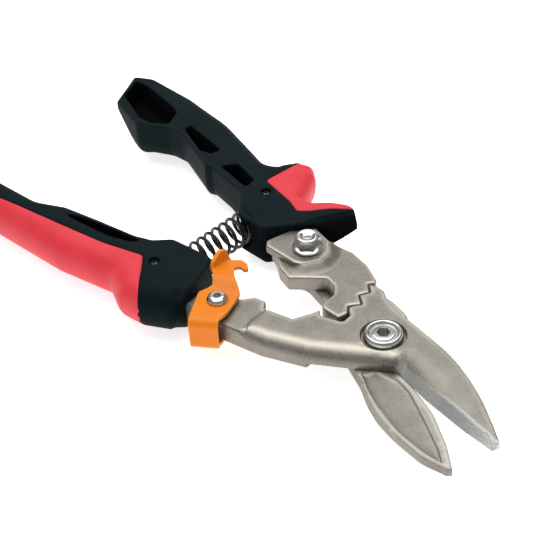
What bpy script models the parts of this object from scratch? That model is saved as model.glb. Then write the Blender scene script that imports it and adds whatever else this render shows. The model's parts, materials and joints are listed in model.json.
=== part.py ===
"""Aviation snips with a geared compound action, left cutting, lying on their back.

The origin is on the main pivot's axis, at the flat rear end of the pivot bolt. +Z runs along that
axis to the front of the tool, and +X runs along the tool to the blade tips. The blades stand open,
as far as the return spring pushes them. Every dimension below is in millimetres.
"""

import math

import bmesh
import bpy
from mathutils import Matrix, Vector

MM = 0.001  # one millimetre in Blender's metres
GAP = 0.3  # clearance between neighbouring pieces
ROUND = 32  # sides of a large turned piece
SMALL_ROUND = 20  # sides of a small turned piece

# Plan positions of the axes
MAIN_PIVOT = (0.0, 0.0)
LEVER_PIVOT = (-51.5, 17.4)
LATCH_PIVOT = (-56.0, -26.3)

# Motion: the rear blade closes by BLADE_TRAVEL, and the lever turns on it by LEVER_RATIO times that
BLADE_TRAVEL = math.radians(14.5)
LEVER_RATIO = 0.42
GULLET_STEPS = 8

# Levels along Z
SHEAR_Z = 10.0  # the blades meet here
REAR_Z = SHEAR_Z - 5.0  # back of the rear forging
FRONT_Z = SHEAR_Z + 6.3  # top of the front forging and of the lever
NOSE_Z = SHEAR_Z + 8.8  # top of the lever's nose plate
TANG_BACK_Z = SHEAR_Z - 2.2  # back of the thick neck and tang
HANDLE_Z0 = 3.5
HANDLE_Z1 = 22.5
HANDLE_MID_Z = 0.5 * (HANDLE_Z0 + HANDLE_Z1)
TANG_CORE_Z = (SHEAR_Z + 0.5, SHEAR_Z + 5.8)  # the tangs inside the handles
NECK_STEP = 0.4  # the thick neck's top is this much lower than the hub's

# Ground faces of the blades, as the turns of their cutters about X, Y and Z
BLADE_TOP_TURN = (0.0, math.radians(4.8), 0.0)
BLADE_BEVEL_TURN = (math.radians(42), 0.0, math.radians(-12))
BLADE_BACK_TURN = (0.0, math.radians(-3.2), 0.0)
HOLLOW_DEPTH = 0.8

# Main pivot bolt, washer and nut
BOLT_HEAD_R = 7.2
BOLT_RECESS_R = 8.1
BOLT_RECESS_Z = FRONT_Z - 1.6
BOLT_SHANK_R = 4.0
BUSH_R = 5.2
BLADE_BORE_R = BUSH_R + GAP
WASHER_R = 7.4
WASHER_T = 0.8
NUT_FLATS = 13.0

# Lever pivot: hex flange bolt, washer and nut
FLANGE_R = 5.8
FLANGE_T = 1.4
HEX_FLATS = 8.6
HEX_HEAD_T = 4.4
LEVER_SHANK_R = 3.0

# Latch: bent sheet round the tang
SHEET_T = 1.7
LATCH_PLATE_Z = FRONT_Z + 0.7
LATCH_ARM_Z = NOSE_Z + 0.4
LATCH_REAR_Z = TANG_BACK_Z - 0.8 - SHEET_T
LATCH_TAB_Z = SHEAR_Z + 15.5
LATCH_SCREW_R = 3.9
LATCH_SHANK_R = 2.0

# Return spring, along Y between the handles
SPRING_X = -85.0
SPRING_Z = HANDLE_MID_Z
SPRING_Y = (-19.5, 20.0)
SPRING_R = 5.4  # to the wire's centre
WIRE_R = 0.6
SPRING_TURNS = 10
POINTS_PER_TURN = 14
SEAT_POCKET_R = 6.6
SEAT_POST_R = 3.9

# Handles
EDGE_ROUND = {"lower": 4.0, "upper": 2.4}
HANDLE_SCREW_R = 1.9
UPPER_SCREW = (-85.4, 30.5)
LOWER_SCREW = (-86.6, -28.5)

# Outlines, as x, y and an optional corner radius
FRONT_BLADE = [
    (-4.0, 11.0), (0.6, 12.4, 6), (10.5, 10.4, 8), (23.7, 8.2, 20), (39.5, 1.4, 30),
    (53.9, -8.3, 30), (60.4, -13.4, 1.2), (59.2, -16.1, 1.0), (46.9, -14.8, 20),
    (27.2, -11.2, 20), (12.4, -6.9), (2.2, -12.8, 6), (-4.0, -15.5),
]
HUB_AND_NECK = [
    (-19.2, 19.4, 1.5), (-23.4, 17.5), (-23.8, 3.0), (-26.0, -3.8), (-27.2, -7.5, 3),
    (-30.4, -14.1, 1), (-41.9, -16.4, 1.5), (-44.6, -12.9, 1.5), (-49.2, -13.6, 2),
    (-52.5, -17.9, 2), (-66.0, -20.2), (-68.4, -33.6), (-46.6, -32.4, 8),
    (-31.2, -29.9, 8), (-14.6, -23.8, 6), (-2.7, -16.6, 6), (8.0, -9.6), (8.0, 10.4),
    (0.6, 12.4, 6), (-5.0, 13.4, 3), (-11.4, 15.9, 2), (-15.4, 19.0, 2),
]
THICK_NECK = [
    (-15.2, -17.5), (-30.4, -14.1, 1), (-41.9, -16.4, 1.5), (-52.5, -17.9, 2), (-66.0, -20.2),
    (-68.4, -33.6), (-46.6, -32.4, 8), (-31.2, -29.9, 8), (-15.2, -24.1),
]
LOWER_TANG = [
    (-60.0, -21.5), (-80.0, -26.5), (-126.0, -31.0), (-126.0, -40.0), (-80.0, -37.0), (-60.0, -31.0),
]
REAR_BLADE = [
    (-6.0, 12.0), (-12.0, -5.0), (-8.0, -11.5, 5), (1.9, -16.5, 10), (22.7, -27.2, 30),
    (43.5, -31.6, 20), (52.4, -31.8), (54.0, -30.4), (46.2, -23.3, 20), (34.1, -14.9, 20),
    (19.6, -8.4, 12), (11.5, -6.8, 3), (13.6, 0.0, 6), (10.0, 8.5, 6), (2.0, 13.4, 6),
]
REAR_ARM = [
    (-5.0, 19.4, 6), (-13.0, 21.8, 8), (-24.0, 23.0, 10), (-45.0, 26.6, 7), (-57.5, 25.5, 7),
    (-61.0, 16.5, 7), (-55.0, 9.8, 7), (-44.0, 9.6, 8), (-34.0, 6.4, 10), (-25.0, -2.4, 6),
    (-10.0, -10.5, 6), (2.0, -11.0), (8.0, 6.0), (2.0, 13.4, 5),
]
HOLLOW = [
    (3.2, -16.0), (9.8, -20.0, 20), (17.0, -23.7, 20), (30.2, -28.8, 30), (42.0, -30.6, 30),
    (50.0, -30.7), (46.2, -27.4, 20), (36.7, -21.8, 30), (26.5, -15.7, 20), (20.5, -12.6, 8),
    (14.0, -11.0, 4), (6.5, -12.0),
]
LEVER_BODY = [
    (-27.8, -0.6, 0.8), (-26.3, -2.8, 0.8), (-18.3, -3.2, 0.8), (-17.3, 0.7, 0.8),
    (-19.9, 3.9, 0.5), (-16.8, 7.8, 0.6), (-21.0, 11.0, 0.5), (-19.0, 14.9, 0.6),
    (-22.6, 18.0, 0.5), (-20.6, 20.5, 0.8), (-21.4, 21.9, 0.8), (-30.1, 26.6, 8),
    (-38.8, 28.8, 3), (-44.6, 28.4, 2), (-48.2, 26.0, 1), (-62.0, 30.0), (-65.0, 11.4, 1.2),
    (-59.6, 8.6, 2), (-54.0, 4.2, 2), (-47.3, 1.9, 1), (-36.2, 10.8, 1), (-31.2, 9.2, 2), (-28.0, 5.6, 2),
]
NOSE_PLATE = [
    (-62.0, 30.0), (-66.6, 11.0, 1.0), (-64.6, 8.4, 1.5), (-50.0, 7.6, 3), (-46.2, 9.0, 3),
    (-42.6, 14.6, 4), (-43.4, 21.0, 3), (-48.2, 26.0),
]
UPPER_TANG = [
    (-50.0, 20.0), (-50.0, 31.0), (-70.0, 36.0), (-92.5, 39.5), (-93.5, 27.5), (-76.0, 22.5), (-62.0, 14.0),
]

LATCH_PLATE = [
    (-62.2, -24.5, 2), (-61.2, -29.5, 1), (-54.6, -41.4, 1), (-46.2, -32.6, 1),
    (-51.2, -19.6, 1), (-52.6, -17.8, 1), (-62.8, -14.6), (-64.0, -18.0, 1),
]
LATCH_WALL = [(-55.5, -42.4), (-54.2, -43.6), (-45.4, -34.0), (-46.6, -32.8)]
LATCH_REAR = [
    (-62.2, -24.5, 2), (-61.2, -29.5, 1), (-54.8, -42.0), (-46.0, -33.2), (-52.4, -20.6, 3),
    (-58.5, -19.2, 3),
]
LATCH_ARM = [
    (-62.8, -14.6), (-66.8, -13.2, 1), (-66.9, -8.6, 1), (-63.4, -6.0, 2), (-60.2, -6.4, 1.2),
    (-58.1, -8.4, 0.8), (-62.0, -10.6, 1.2), (-57.5, -14.6, 1), (-52.6, -17.8, 1), (-56.0, -20.0),
]
LATCH_STEP = [(-62.6, -14.8), (-60.6, -18.0), (-53.6, -19.4), (-53.4, -17.4)]
LATCH_TAB = [(-66.9, -13.6), (-66.9, -8.6, 0.8), (-64.6, -7.4, 0.8), (-65.2, -9.2), (-65.2, -13.6)]

LOWER_HANDLE = [
    (-71.5, -13.0, 4.2), (-91.5, -14.6, 4.2), (-97.2, -19.8, 3), (-124.0, -23.2, 30),
    (-140.0, -25.8, 8), (-152.0, -31.2, 12), (-168.0, -31.6, 40), (-195.0, -32.0, 6),
    (-199.0, -38.5, 5), (-193.0, -46.8, 6), (-166.0, -46.5, 40), (-125.0, -45.6, 20),
    (-98.6, -41.4, 6), (-87.0, -47.4, 6), (-77.0, -46.6, 6), (-65.2, -40.6, 4.2), (-65.8, -29.0, 8),
]
LOWER_GRIP = [
    (-92.4, -28.9, 2.5), (-110.0, -33.4, 30), (-131.5, -36.2, 30), (-164.0, -40.2, 60),
    (-203.0, -42.6), (-203.0, -60.0), (-80.0, -60.0), (-80.6, -42.5, 8), (-87.0, -34.6, 20),
]
UPPER_HANDLE = [
    (-70.0, 12.6, 3), (-63.0, 21.0, 5), (-56.5, 31.5, 5), (-46.6, 36.2, 4), (-46.6, 41.8, 3),
    (-53.5, 45.6, 6), (-61.5, 41.6, 6), (-67.0, 37.8, 4), (-72.4, 37.6, 1.5), (-75.6, 45.5, 5),
    (-79.2, 53.0, 4), (-84.5, 57.4, 3), (-91.5, 55.6, 4), (-98.9, 44.9, 8), (-111.0, 49.2, 15),
    (-134.5, 57.4, 40), (-160.0, 61.6, 30), (-184.0, 61.2, 4), (-191.8, 57.4, 3), (-182.8, 38.4, 3),
    (-163.0, 32.0, 4), (-150.0, 38.6, 5), (-141.5, 38.7, 8), (-118.0, 28.6, 2),
    (-115.0, 29.6, 1), (-94.8, 24.9, 1.5), (-91.6, 21.6, 2), (-84.2, 13.2, 3),
]
THUMB_GRIP = [
    (-90.6, 36.0, 2), (-74.0, 31.8, 2), (-67.4, 28.8, 2), (-63.8, 31.8, 3), (-58.3, 38.4, 6),
    (-52.0, 43.2), (-44.0, 46.5), (-44.0, 64.0), (-86.5, 64.0), (-89.0, 53.0, 8),
]
UPPER_POCKETS = [
    [
        (-188.0, 55.0), (-183.4, 44.4), (-165.5, 36.6), (-158.5, 36.4), (-152.2, 40.6),
        (-156.0, 49.0), (-160.8, 51.0), (-182.0, 55.8),
    ],
    [(-143.0, 42.0), (-143.8, 45.6), (-120.6, 40.6), (-122.2, 36.2), (-127.0, 35.4)],
    [(-111.4, 32.8), (-107.4, 38.0), (-95.2, 34.4), (-94.2, 28.9)],
]
POCKET_DEPTH = 6.5
# Sloping undersides under the upper handle's guard and rear end, as points and upward normals
UNDERSIDE_SLOPES = {
    "lower": [],
    "upper": [((-54.0, 38.0, 12.0), (-0.68, 0.0, 0.73)), ((-163.0, 32.0, 3.5), (0.572, 0.659, 0.487))],
}
SLOPE_BLOCK = (120.0, 120.0, 30.0)


def clear_scene():
    for item in list(bpy.data.objects):
        bpy.data.objects.remove(item, do_unlink=True)


def new_collection(name):
    collection = bpy.data.collections.new(name)
    bpy.context.scene.collection.children.link(collection)
    return collection


def new_material(name, colour, roughness, metallic):
    material = bpy.data.materials.new(name)
    material.use_nodes = True
    shader = material.node_tree.nodes["Principled BSDF"]
    shader.inputs["Base Color"].default_value = (*colour, 1.0)
    shader.inputs["Roughness"].default_value = roughness
    shader.inputs["Metallic"].default_value = metallic
    return material


def fillet(corner, before, after, radius, steps=4):
    """The arc that rounds one corner, kept shorter than the two sides that it joins."""
    corner, before, after = Vector(corner), Vector(before), Vector(after)
    side_a, side_b = before - corner, after - corner
    half = 0.5 * side_a.angle(side_b)
    reach = min(radius / math.tan(half), 0.48 * side_a.length, 0.48 * side_b.length)
    radius = reach * math.tan(half)
    centre = corner + (side_a.normalized() + side_b.normalized()).normalized() * radius / math.sin(half)
    start = corner + side_a.normalized() * reach - centre
    finish = corner + side_b.normalized() * reach - centre
    turn = start.angle_signed(finish)
    count = max(1, math.ceil(abs(turn) / math.radians(80) * steps))
    return [tuple(centre + Matrix.Rotation(-turn * i / count, 2) @ start) for i in range(count + 1)]


def rounded(outline):
    """An outline's points, with each corner that states a radius turned into an arc."""
    points = []
    for i, point in enumerate(outline):
        if len(point) < 3:
            points.append(point)
            continue
        before, after = outline[i - 1][:2], outline[(i + 1) % len(outline)][:2]
        points.extend(fillet(point[:2], before, after, point[2]))
    return points


def grown(points, distance):
    """A closed outline moved outwards by a distance, for the clearance round a piece."""
    area = sum(a[0] * b[1] - b[0] * a[1] for a, b in zip(points, points[1:] + points[:1]))
    side = math.copysign(1.0, area)
    moved = []
    for i, point in enumerate(points):
        here = Vector(point[:2])
        one = (here - Vector(points[i - 1][:2])).normalized()
        two = (Vector(points[(i + 1) % len(points)][:2]) - here).normalized()
        out = (Vector((one.y, -one.x)) + Vector((two.y, -two.x))).normalized() * side
        cosine = max(0.5, out.dot(Vector((one.y, -one.x)) * side))
        moved.append(tuple(here + out * distance / cosine))
    return moved


def add_mesh(name, mesh, collection, material=None):
    mesh.name = name
    piece = bpy.data.objects.new(name, mesh)
    collection.objects.link(piece)
    if material:
        mesh.materials.clear()
        mesh.materials.append(material)
    return piece


def weld(mesh):
    bm = bmesh.new()
    bm.from_mesh(mesh)
    bmesh.ops.remove_doubles(bm, verts=bm.verts, dist=1e-6)
    bmesh.ops.dissolve_limit(bm, angle_limit=math.radians(0.1), verts=[], edges=bm.edges)
    bmesh.ops.recalc_face_normals(bm, faces=bm.faces)
    bm.to_mesh(mesh)
    bm.free()


def curve_to_piece(curve, location, name, collection, material):
    """Turn a curve into a closed mesh object, with its caps welded on."""
    guide = bpy.data.objects.new(name + "_curve", curve)
    collection.objects.link(guide)
    guide.location = location
    bpy.context.view_layer.update()
    graph = bpy.context.evaluated_depsgraph_get()
    mesh = bpy.data.meshes.new_from_object(guide.evaluated_get(graph))
    mesh.transform(guide.matrix_world)
    bpy.data.objects.remove(guide, do_unlink=True)
    weld(mesh)
    return add_mesh(name, mesh, collection, material)


def prism(name, outline, z0, z1, collection, material=None):
    """A flat outline, extruded from z0 to z1."""
    curve = bpy.data.curves.new(name + "_outline", "CURVE")
    curve.dimensions = "2D"
    curve.fill_mode = "BOTH"
    curve.extrude = 0.5 * (z1 - z0) * MM
    points = rounded(outline)
    spline = curve.splines.new("POLY")
    spline.points.add(len(points) - 1)
    for target, (x, y) in zip(spline.points, points):
        target.co = (x * MM, y * MM, 0.0, 1.0)
    spline.use_cyclic_u = True
    return curve_to_piece(curve, (0, 0, 0.5 * (z0 + z1) * MM), name, collection, material)


def turned(name, profile, centre, collection, material=None, steps=ROUND):
    """A profile of radius and height, top to bottom, turned about a vertical axis."""
    mesh = bpy.data.meshes.new(name)
    closed = profile[0] == profile[-1]
    points = [(r * MM, 0.0, z * MM) for r, z in (profile[:-1] if closed else profile)]
    edges = [(i, (i + 1) % len(points)) for i in range(len(profile) - 1)]
    mesh.from_pydata(points, edges, [])
    piece = add_mesh(name, mesh, collection, material)
    piece.location = (centre[0] * MM, centre[1] * MM, 0.0)
    screw = piece.modifiers.new("turn", "SCREW")
    screw.steps = steps
    screw.render_steps = steps
    screw.use_merge_vertices = True
    screw.merge_threshold = 1e-6
    return piece


def disc(name, radius, z0, z1, centre, collection, material=None, steps=ROUND):
    return turned(name, [(0, z1), (radius, z1), (radius, z0), (0, z0)], centre, collection, material, steps)


def ring(name, inner, outer, z0, z1, centre, collection, material, steps=ROUND):
    profile = [(inner, z1), (outer, z1), (outer, z0), (inner, z0), (inner, z1)]
    return turned(name, profile, centre, collection, material, steps)


def hexagon(centre, flats):
    corner = 0.5 * flats / math.cos(math.radians(30))
    angles = [math.radians(60 * i) for i in range(6)]
    return [(centre[0] + corner * math.cos(a), centre[1] + corner * math.sin(a)) for a in angles]


def boolean(piece, tool, operation="DIFFERENCE"):
    tool.hide_render = True
    tool.display_type = "WIRE"
    modifier = piece.modifiers.new(tool.name, "BOOLEAN")
    modifier.operation = operation
    modifier.solver = "EXACT"
    modifier.object = tool
    return modifier


def smooth(piece):
    piece.data.shade_smooth()
    piece.data.set_sharp_from_angle(angle=math.radians(35))


def closed_by(point, angle, lever_angle=0.0):
    """Where a point of the moving side is once the blade has turned by angle."""
    x, y = point[0] - LEVER_PIVOT[0], point[1] - LEVER_PIVOT[1]
    on_blade = Matrix.Rotation(lever_angle, 2) @ Vector((x, y)) + Vector(LEVER_PIVOT)
    return tuple(Matrix.Rotation(angle, 2) @ on_blade)


def cut_gullets(piece, tools):
    """Cut the gear sector as the lever's teeth roll through it from open to closed."""
    teeth = grown(rounded(LEVER_BODY), GAP)
    for step in range(GULLET_STEPS + 1):
        angle = BLADE_TRAVEL * step / GULLET_STEPS
        points = [closed_by(point, angle, LEVER_RATIO * angle) for point in teeth]
        cutter = prism(f"gullet_{step}", points, SHEAR_Z - 6, FRONT_Z + 4, tools)
        boolean(piece, cutter)


def slab(name, centre, size, turn, collection):
    """A box cutter, placed by its centre and turned by three angles."""
    mesh = bpy.data.meshes.new(name)
    bm = bmesh.new()
    bmesh.ops.create_cube(bm, size=1.0)
    bmesh.ops.scale(bm, vec=Vector(size) * MM, verts=bm.verts)
    bm.to_mesh(mesh)
    bm.free()
    piece = add_mesh(name, mesh, collection)
    piece.location = Vector(centre) * MM
    piece.rotation_euler = turn
    return piece


def slope_cutter(name, point, normal, collection):
    """A block whose top face passes through a point, square to a normal."""
    up = Vector(normal).normalized()
    centre = Vector(point) - up * 0.5 * SLOPE_BLOCK[2]
    return slab(name, centre, SLOPE_BLOCK, up.to_track_quat("Z", "Y").to_euler(), collection)


def make_fixed_blade(parts, tools, steel):
    """Front forging: blade, hub with gear sector, neck, closing stop and tang."""
    piece = prism("fixed_blade", HUB_AND_NECK, SHEAR_Z + 0.15, FRONT_Z, parts, steel)
    blade = prism("blade_blank", FRONT_BLADE, SHEAR_Z + 0.15, FRONT_Z, tools)
    neck = prism("thick_neck", THICK_NECK, TANG_BACK_Z, FRONT_Z - NECK_STEP, tools)
    tang = prism("lower_tang", LOWER_TANG, *TANG_CORE_Z, tools)
    for blank in (blade, neck, tang):
        boolean(piece, blank, "UNION")
    cut_gullets(piece, tools)
    boolean(piece, slab("blade_top_slope", (40, 0, FRONT_Z + 6.3), (66, 60, 12), BLADE_TOP_TURN, tools))
    boolean(piece, slab("blade_bevel", (36.5, -22.6, SHEAR_Z + 8.6), (46, 18, 12), BLADE_BEVEL_TURN, tools))
    hole_r, mouth_z = BOLT_SHANK_R + GAP, FRONT_Z + 3
    stepped = [
        (0, mouth_z), (BOLT_RECESS_R, mouth_z), (BOLT_RECESS_R, BOLT_RECESS_Z),
        (hole_r, BOLT_RECESS_Z), (hole_r, 0), (0, 0),
    ]
    boolean(piece, turned("bolt_hole", stepped, MAIN_PIVOT, tools))
    boolean(piece, disc("latch_hole", LATCH_SHANK_R + GAP, 0, 30, LATCH_PIVOT, tools, steps=SMALL_ROUND))
    boolean(piece, disc("tang_screw_hole", HANDLE_SCREW_R, 0, 30, LOWER_SCREW, tools, steps=SMALL_ROUND))


def make_moving_blade(parts, tools, steel):
    """Rear forging: hollow-ground blade, hub and the arm that carries the lever."""
    piece = prism("moving_blade", REAR_BLADE, REAR_Z, SHEAR_Z - 0.15, parts, steel)
    boolean(piece, prism("rear_arm", REAR_ARM, REAR_Z, SHEAR_Z - 0.15, tools), "UNION")
    boolean(piece, prism("hollow_grind", HOLLOW, SHEAR_Z - HOLLOW_DEPTH, SHEAR_Z + 3, tools))
    boolean(piece, slab("blade_back_slope", (44, -20, REAR_Z - 5.1), (60, 60, 12), BLADE_BACK_TURN, tools))
    boolean(piece, disc("blade_bore", BLADE_BORE_R, 0, 30, MAIN_PIVOT, tools))
    boolean(piece, disc("lever_bore", LEVER_SHANK_R + GAP, 0, 30, LEVER_PIVOT, tools, steps=SMALL_ROUND))


def make_gear_lever(parts, tools, steel):
    """Toothed lever with its nose plate and the tang of the upper handle."""
    piece = prism("gear_lever", LEVER_BODY, SHEAR_Z + 0.15, FRONT_Z, parts, steel)
    boolean(piece, prism("nose_plate", NOSE_PLATE, FRONT_Z - 1.0, NOSE_Z, tools), "UNION")
    boolean(piece, prism("upper_tang", UPPER_TANG, *TANG_CORE_Z, tools), "UNION")
    boolean(piece, disc("lever_hole", LEVER_SHANK_R + GAP, 0, 30, LEVER_PIVOT, tools, steps=SMALL_ROUND))
    screw_hole = disc("upper_tang_screw_hole", HANDLE_SCREW_R, 0, 30, UPPER_SCREW, tools, steps=SMALL_ROUND)
    boolean(piece, screw_hole)


def make_main_pivot(parts, tools, chrome, bronze):
    """Domed socket bolt through both forgings, with its bush, washer and nut."""
    head_z = BOLT_RECESS_Z + GAP
    profile = [
        (0, head_z + 2.6), (4.4, head_z + 2.6), (4.7, head_z + 2.0), (5.2, head_z + 2.8),
        (6.2, head_z + 2.6), (BOLT_HEAD_R, head_z + 1.6), (BOLT_HEAD_R, head_z),
        (BOLT_SHANK_R, head_z), (BOLT_SHANK_R, 0), (0, 0),
    ]
    bolt = turned("main_pivot_bolt", profile, MAIN_PIVOT, parts, chrome)
    boolean(bolt, prism("bolt_socket", hexagon(MAIN_PIVOT, 4.4), head_z, head_z + 5, tools))
    washer_z = REAR_Z - GAP - WASHER_T
    bush_z = (washer_z + WASHER_T + 0.1, SHEAR_Z - 0.15)
    ring("pivot_bush", BOLT_SHANK_R + 0.15, BUSH_R, *bush_z, MAIN_PIVOT, parts, bronze)
    washer_top = washer_z + WASHER_T
    ring("pivot_washer", BOLT_SHANK_R + GAP, WASHER_R, washer_z, washer_top, MAIN_PIVOT, parts, chrome)
    nut = prism("pivot_nut", hexagon(MAIN_PIVOT, NUT_FLATS), 0.4, washer_z - 0.2, parts, chrome)
    boolean(nut, disc("nut_bore", BOLT_SHANK_R + 0.15, -1, 20, MAIN_PIVOT, tools))


def make_lever_pivot(parts, tools, chrome):
    """Hex flange bolt through the lever and the rear arm, with its washer and nut."""
    flange_z = NOSE_Z + 0.2
    hex_z = flange_z + FLANGE_T
    rear_z = REAR_Z - 3.9
    profile = [
        (0, hex_z), (4.6, hex_z), (FLANGE_R, flange_z + 0.7), (FLANGE_R, flange_z),
        (LEVER_SHANK_R, flange_z), (LEVER_SHANK_R, rear_z), (0, rear_z),
    ]
    bolt = turned("lever_pivot_bolt", profile, LEVER_PIVOT, parts, chrome, SMALL_ROUND)
    head = prism("hex_head", hexagon(LEVER_PIVOT, HEX_FLATS), flange_z + 0.5, hex_z + HEX_HEAD_T, tools)
    boolean(bolt, head, "UNION")
    washer_z = REAR_Z - 0.2 - WASHER_T
    ring("lever_pivot_washer", LEVER_SHANK_R + GAP, 5.8, washer_z, washer_z + WASHER_T, LEVER_PIVOT, parts,
         chrome, SMALL_ROUND)
    nut = prism("lever_pivot_nut", hexagon(LEVER_PIVOT, 9.0), rear_z + 0.3, washer_z - 0.2, parts, chrome)
    boolean(nut, disc("lever_nut_bore", LEVER_SHANK_R + 0.15, -1, 20, LEVER_PIVOT, tools, steps=SMALL_ROUND))


def make_latch(parts, tools, orange):
    """Bent sheet clip: front plate, wall and rear plate round the tang, arm, beak and thumb tab."""
    piece = prism("safety_latch", LATCH_PLATE, LATCH_PLATE_Z, LATCH_PLATE_Z + SHEET_T, parts, orange)
    bends = [
        prism("latch_wall", LATCH_WALL, LATCH_REAR_Z, LATCH_PLATE_Z + SHEET_T, tools),
        prism("latch_rear_plate", LATCH_REAR, LATCH_REAR_Z, LATCH_REAR_Z + SHEET_T, tools),
        prism("latch_arm", LATCH_ARM, LATCH_ARM_Z, LATCH_ARM_Z + SHEET_T, tools),
        prism("latch_step", LATCH_STEP, LATCH_PLATE_Z, LATCH_ARM_Z + SHEET_T, tools),
        prism("latch_tab", LATCH_TAB, LATCH_ARM_Z, LATCH_TAB_Z, tools),
    ]
    for bend in bends:
        boolean(piece, bend, "UNION")
    boolean(piece, disc("latch_bore", LATCH_SHANK_R + GAP, 0, 30, LATCH_PIVOT, tools, steps=SMALL_ROUND))


def make_latch_screw(parts, tools, chrome):
    top_z = LATCH_PLATE_Z + SHEET_T + 0.2
    end_z = LATCH_REAR_Z - 2.4
    profile = [
        (0, top_z + 2.0), (2.2, top_z + 1.9), (3.3, top_z + 1.3), (LATCH_SCREW_R, top_z + 0.4),
        (LATCH_SCREW_R, top_z), (LATCH_SHANK_R, top_z), (LATCH_SHANK_R, end_z), (0, end_z),
    ]
    screw = turned("latch_screw", profile, LATCH_PIVOT, parts, chrome, SMALL_ROUND)
    boolean(screw, prism("latch_socket", hexagon(LATCH_PIVOT, 2.4), top_z + 0.7, top_z + 4, tools))
    nut = prism("latch_nut", hexagon(LATCH_PIVOT, 6.0), end_z + 0.2, LATCH_REAR_Z - 0.2, parts, chrome)
    boolean(nut, disc("latch_nut_bore", LATCH_SHANK_R + 0.15, -5, 20, LATCH_PIVOT, tools, steps=SMALL_ROUND))


def make_return_spring(parts, black):
    """Compression coil between the two handles, on a polyline helix."""
    curve = bpy.data.curves.new("spring_path", "CURVE")
    curve.dimensions = "3D"
    curve.bevel_depth = WIRE_R * MM
    curve.bevel_resolution = 2
    curve.use_fill_caps = True
    count = SPRING_TURNS * POINTS_PER_TURN
    spline = curve.splines.new("POLY")
    spline.points.add(count)
    for i, point in enumerate(spline.points):
        share = i / count
        angle = 2 * math.pi * SPRING_TURNS * share
        x = SPRING_X + SPRING_R * math.cos(angle)
        y = SPRING_Y[0] + (SPRING_Y[1] - SPRING_Y[0]) * share
        z = SPRING_Z + SPRING_R * math.sin(angle)
        point.co = (x * MM, y * MM, z * MM, 1.0)
    curve_to_piece(curve, (0, 0, 0), "return_spring", parts, black)


def lying_disc(name, radius, y0, y1, collection, material=None):
    """A cylinder along Y on the spring's axis."""
    piece = disc(name, radius, y0, y1, (0, 0), collection, material, SMALL_ROUND)
    piece.location = (SPRING_X * MM, 0, SPRING_Z * MM)
    piece.rotation_euler = (math.radians(-90), 0, 0)
    return piece


def make_spring_seats(parts, black):
    """Posts at both ends that keep the coil in its pockets."""
    low, high = SPRING_Y
    lying_disc("lower_spring_seat", SEAT_POST_R, low - 1.4, low + 4.0, parts, black)
    lying_disc("upper_spring_seat", SEAT_POST_R, high - 4.0, high + 1.4, parts, black)


def handle_blank(name, outline, edge_round, collection, material):
    blank = prism(name, outline, HANDLE_Z0, HANDLE_Z1, collection, material)
    bevel = blank.modifiers.new("edge_round", "BEVEL")
    bevel.width = edge_round * MM
    bevel.segments = 2
    bevel.limit_method = "ANGLE"
    bevel.angle_limit = math.radians(60)
    bevel.use_clamp_overlap = False
    return blank


def make_handle(side, outline, grip_outline, sockets, pocket_y, screw, pockets, parts, tools, black, red):
    """Two black shells with the steel's sockets and the spring pocket cut out, and a red grip let in."""
    half = {"front": (HANDLE_MID_Z + 0.15, HANDLE_Z1 + 5), "back": (HANDLE_Z0 - 5, HANDLE_MID_Z - 0.15)}
    far = [(-260, -100), (20, -100), (20, 120), (-260, 120)]
    grip_name = "lower_grip" if side == "lower" else "upper_thumb_grip"
    grip_cutter = prism(f"{side}_grip_cutter", grown(rounded(grip_outline), GAP), -10, 40, tools)
    socket_cutters = [
        prism(f"{side}_socket_{i}", grown(rounded(steel), GAP), z0 - GAP, z1 + GAP, tools)
        for i, (steel, z0, z1) in enumerate(sockets)
    ]
    slope_cutters = [
        slope_cutter(f"{side}_slope_{i}", point, normal, tools)
        for i, (point, normal) in enumerate(UNDERSIDE_SLOPES[side])
    ]
    seat_cutter = lying_disc(f"{side}_seat_pocket", SEAT_POCKET_R, *pocket_y, tools)
    screw_cutter = disc(f"{side}_screw_bore", HANDLE_SCREW_R + GAP, 0, 40, screw, tools, steps=SMALL_ROUND)
    for name, levels in half.items():
        shell = handle_blank(f"{side}_handle_{name}_shell", outline, EDGE_ROUND[side], parts, black)
        boolean(shell, prism(f"{side}_{name}_half", far, *levels, tools), "INTERSECT")
        for cutter in (grip_cutter, seat_cutter, screw_cutter, *socket_cutters, *slope_cutters):
            boolean(shell, cutter)
        if name == "front":
            for i, pocket in enumerate(pockets):
                pocket_z = (HANDLE_Z1 - POCKET_DEPTH, HANDLE_Z1 + 3)
                boolean(shell, prism(f"{side}_pocket_{i}", pocket, *pocket_z, tools))
    grip = handle_blank(grip_name, outline, EDGE_ROUND[side], parts, red)
    boolean(grip, prism(f"{side}_grip_region", grip_outline, -10, 40, tools), "INTERSECT")
    for cutter in (*socket_cutters, *slope_cutters):
        boolean(grip, cutter)


def make_handle_screws(parts, tools, chrome):
    for side, centre in (("lower", LOWER_SCREW), ("upper", UPPER_SCREW)):
        low, high = HANDLE_Z0 + 1.0, HANDLE_Z1 - 0.8
        name = f"{side}_handle_screw"
        screw = disc(name, HANDLE_SCREW_R - GAP, low, high, centre, parts, chrome, SMALL_ROUND)
        boolean(screw, prism(f"{side}_screw_socket", hexagon(centre, 1.5), high - 1.5, high + 1, tools))


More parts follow.
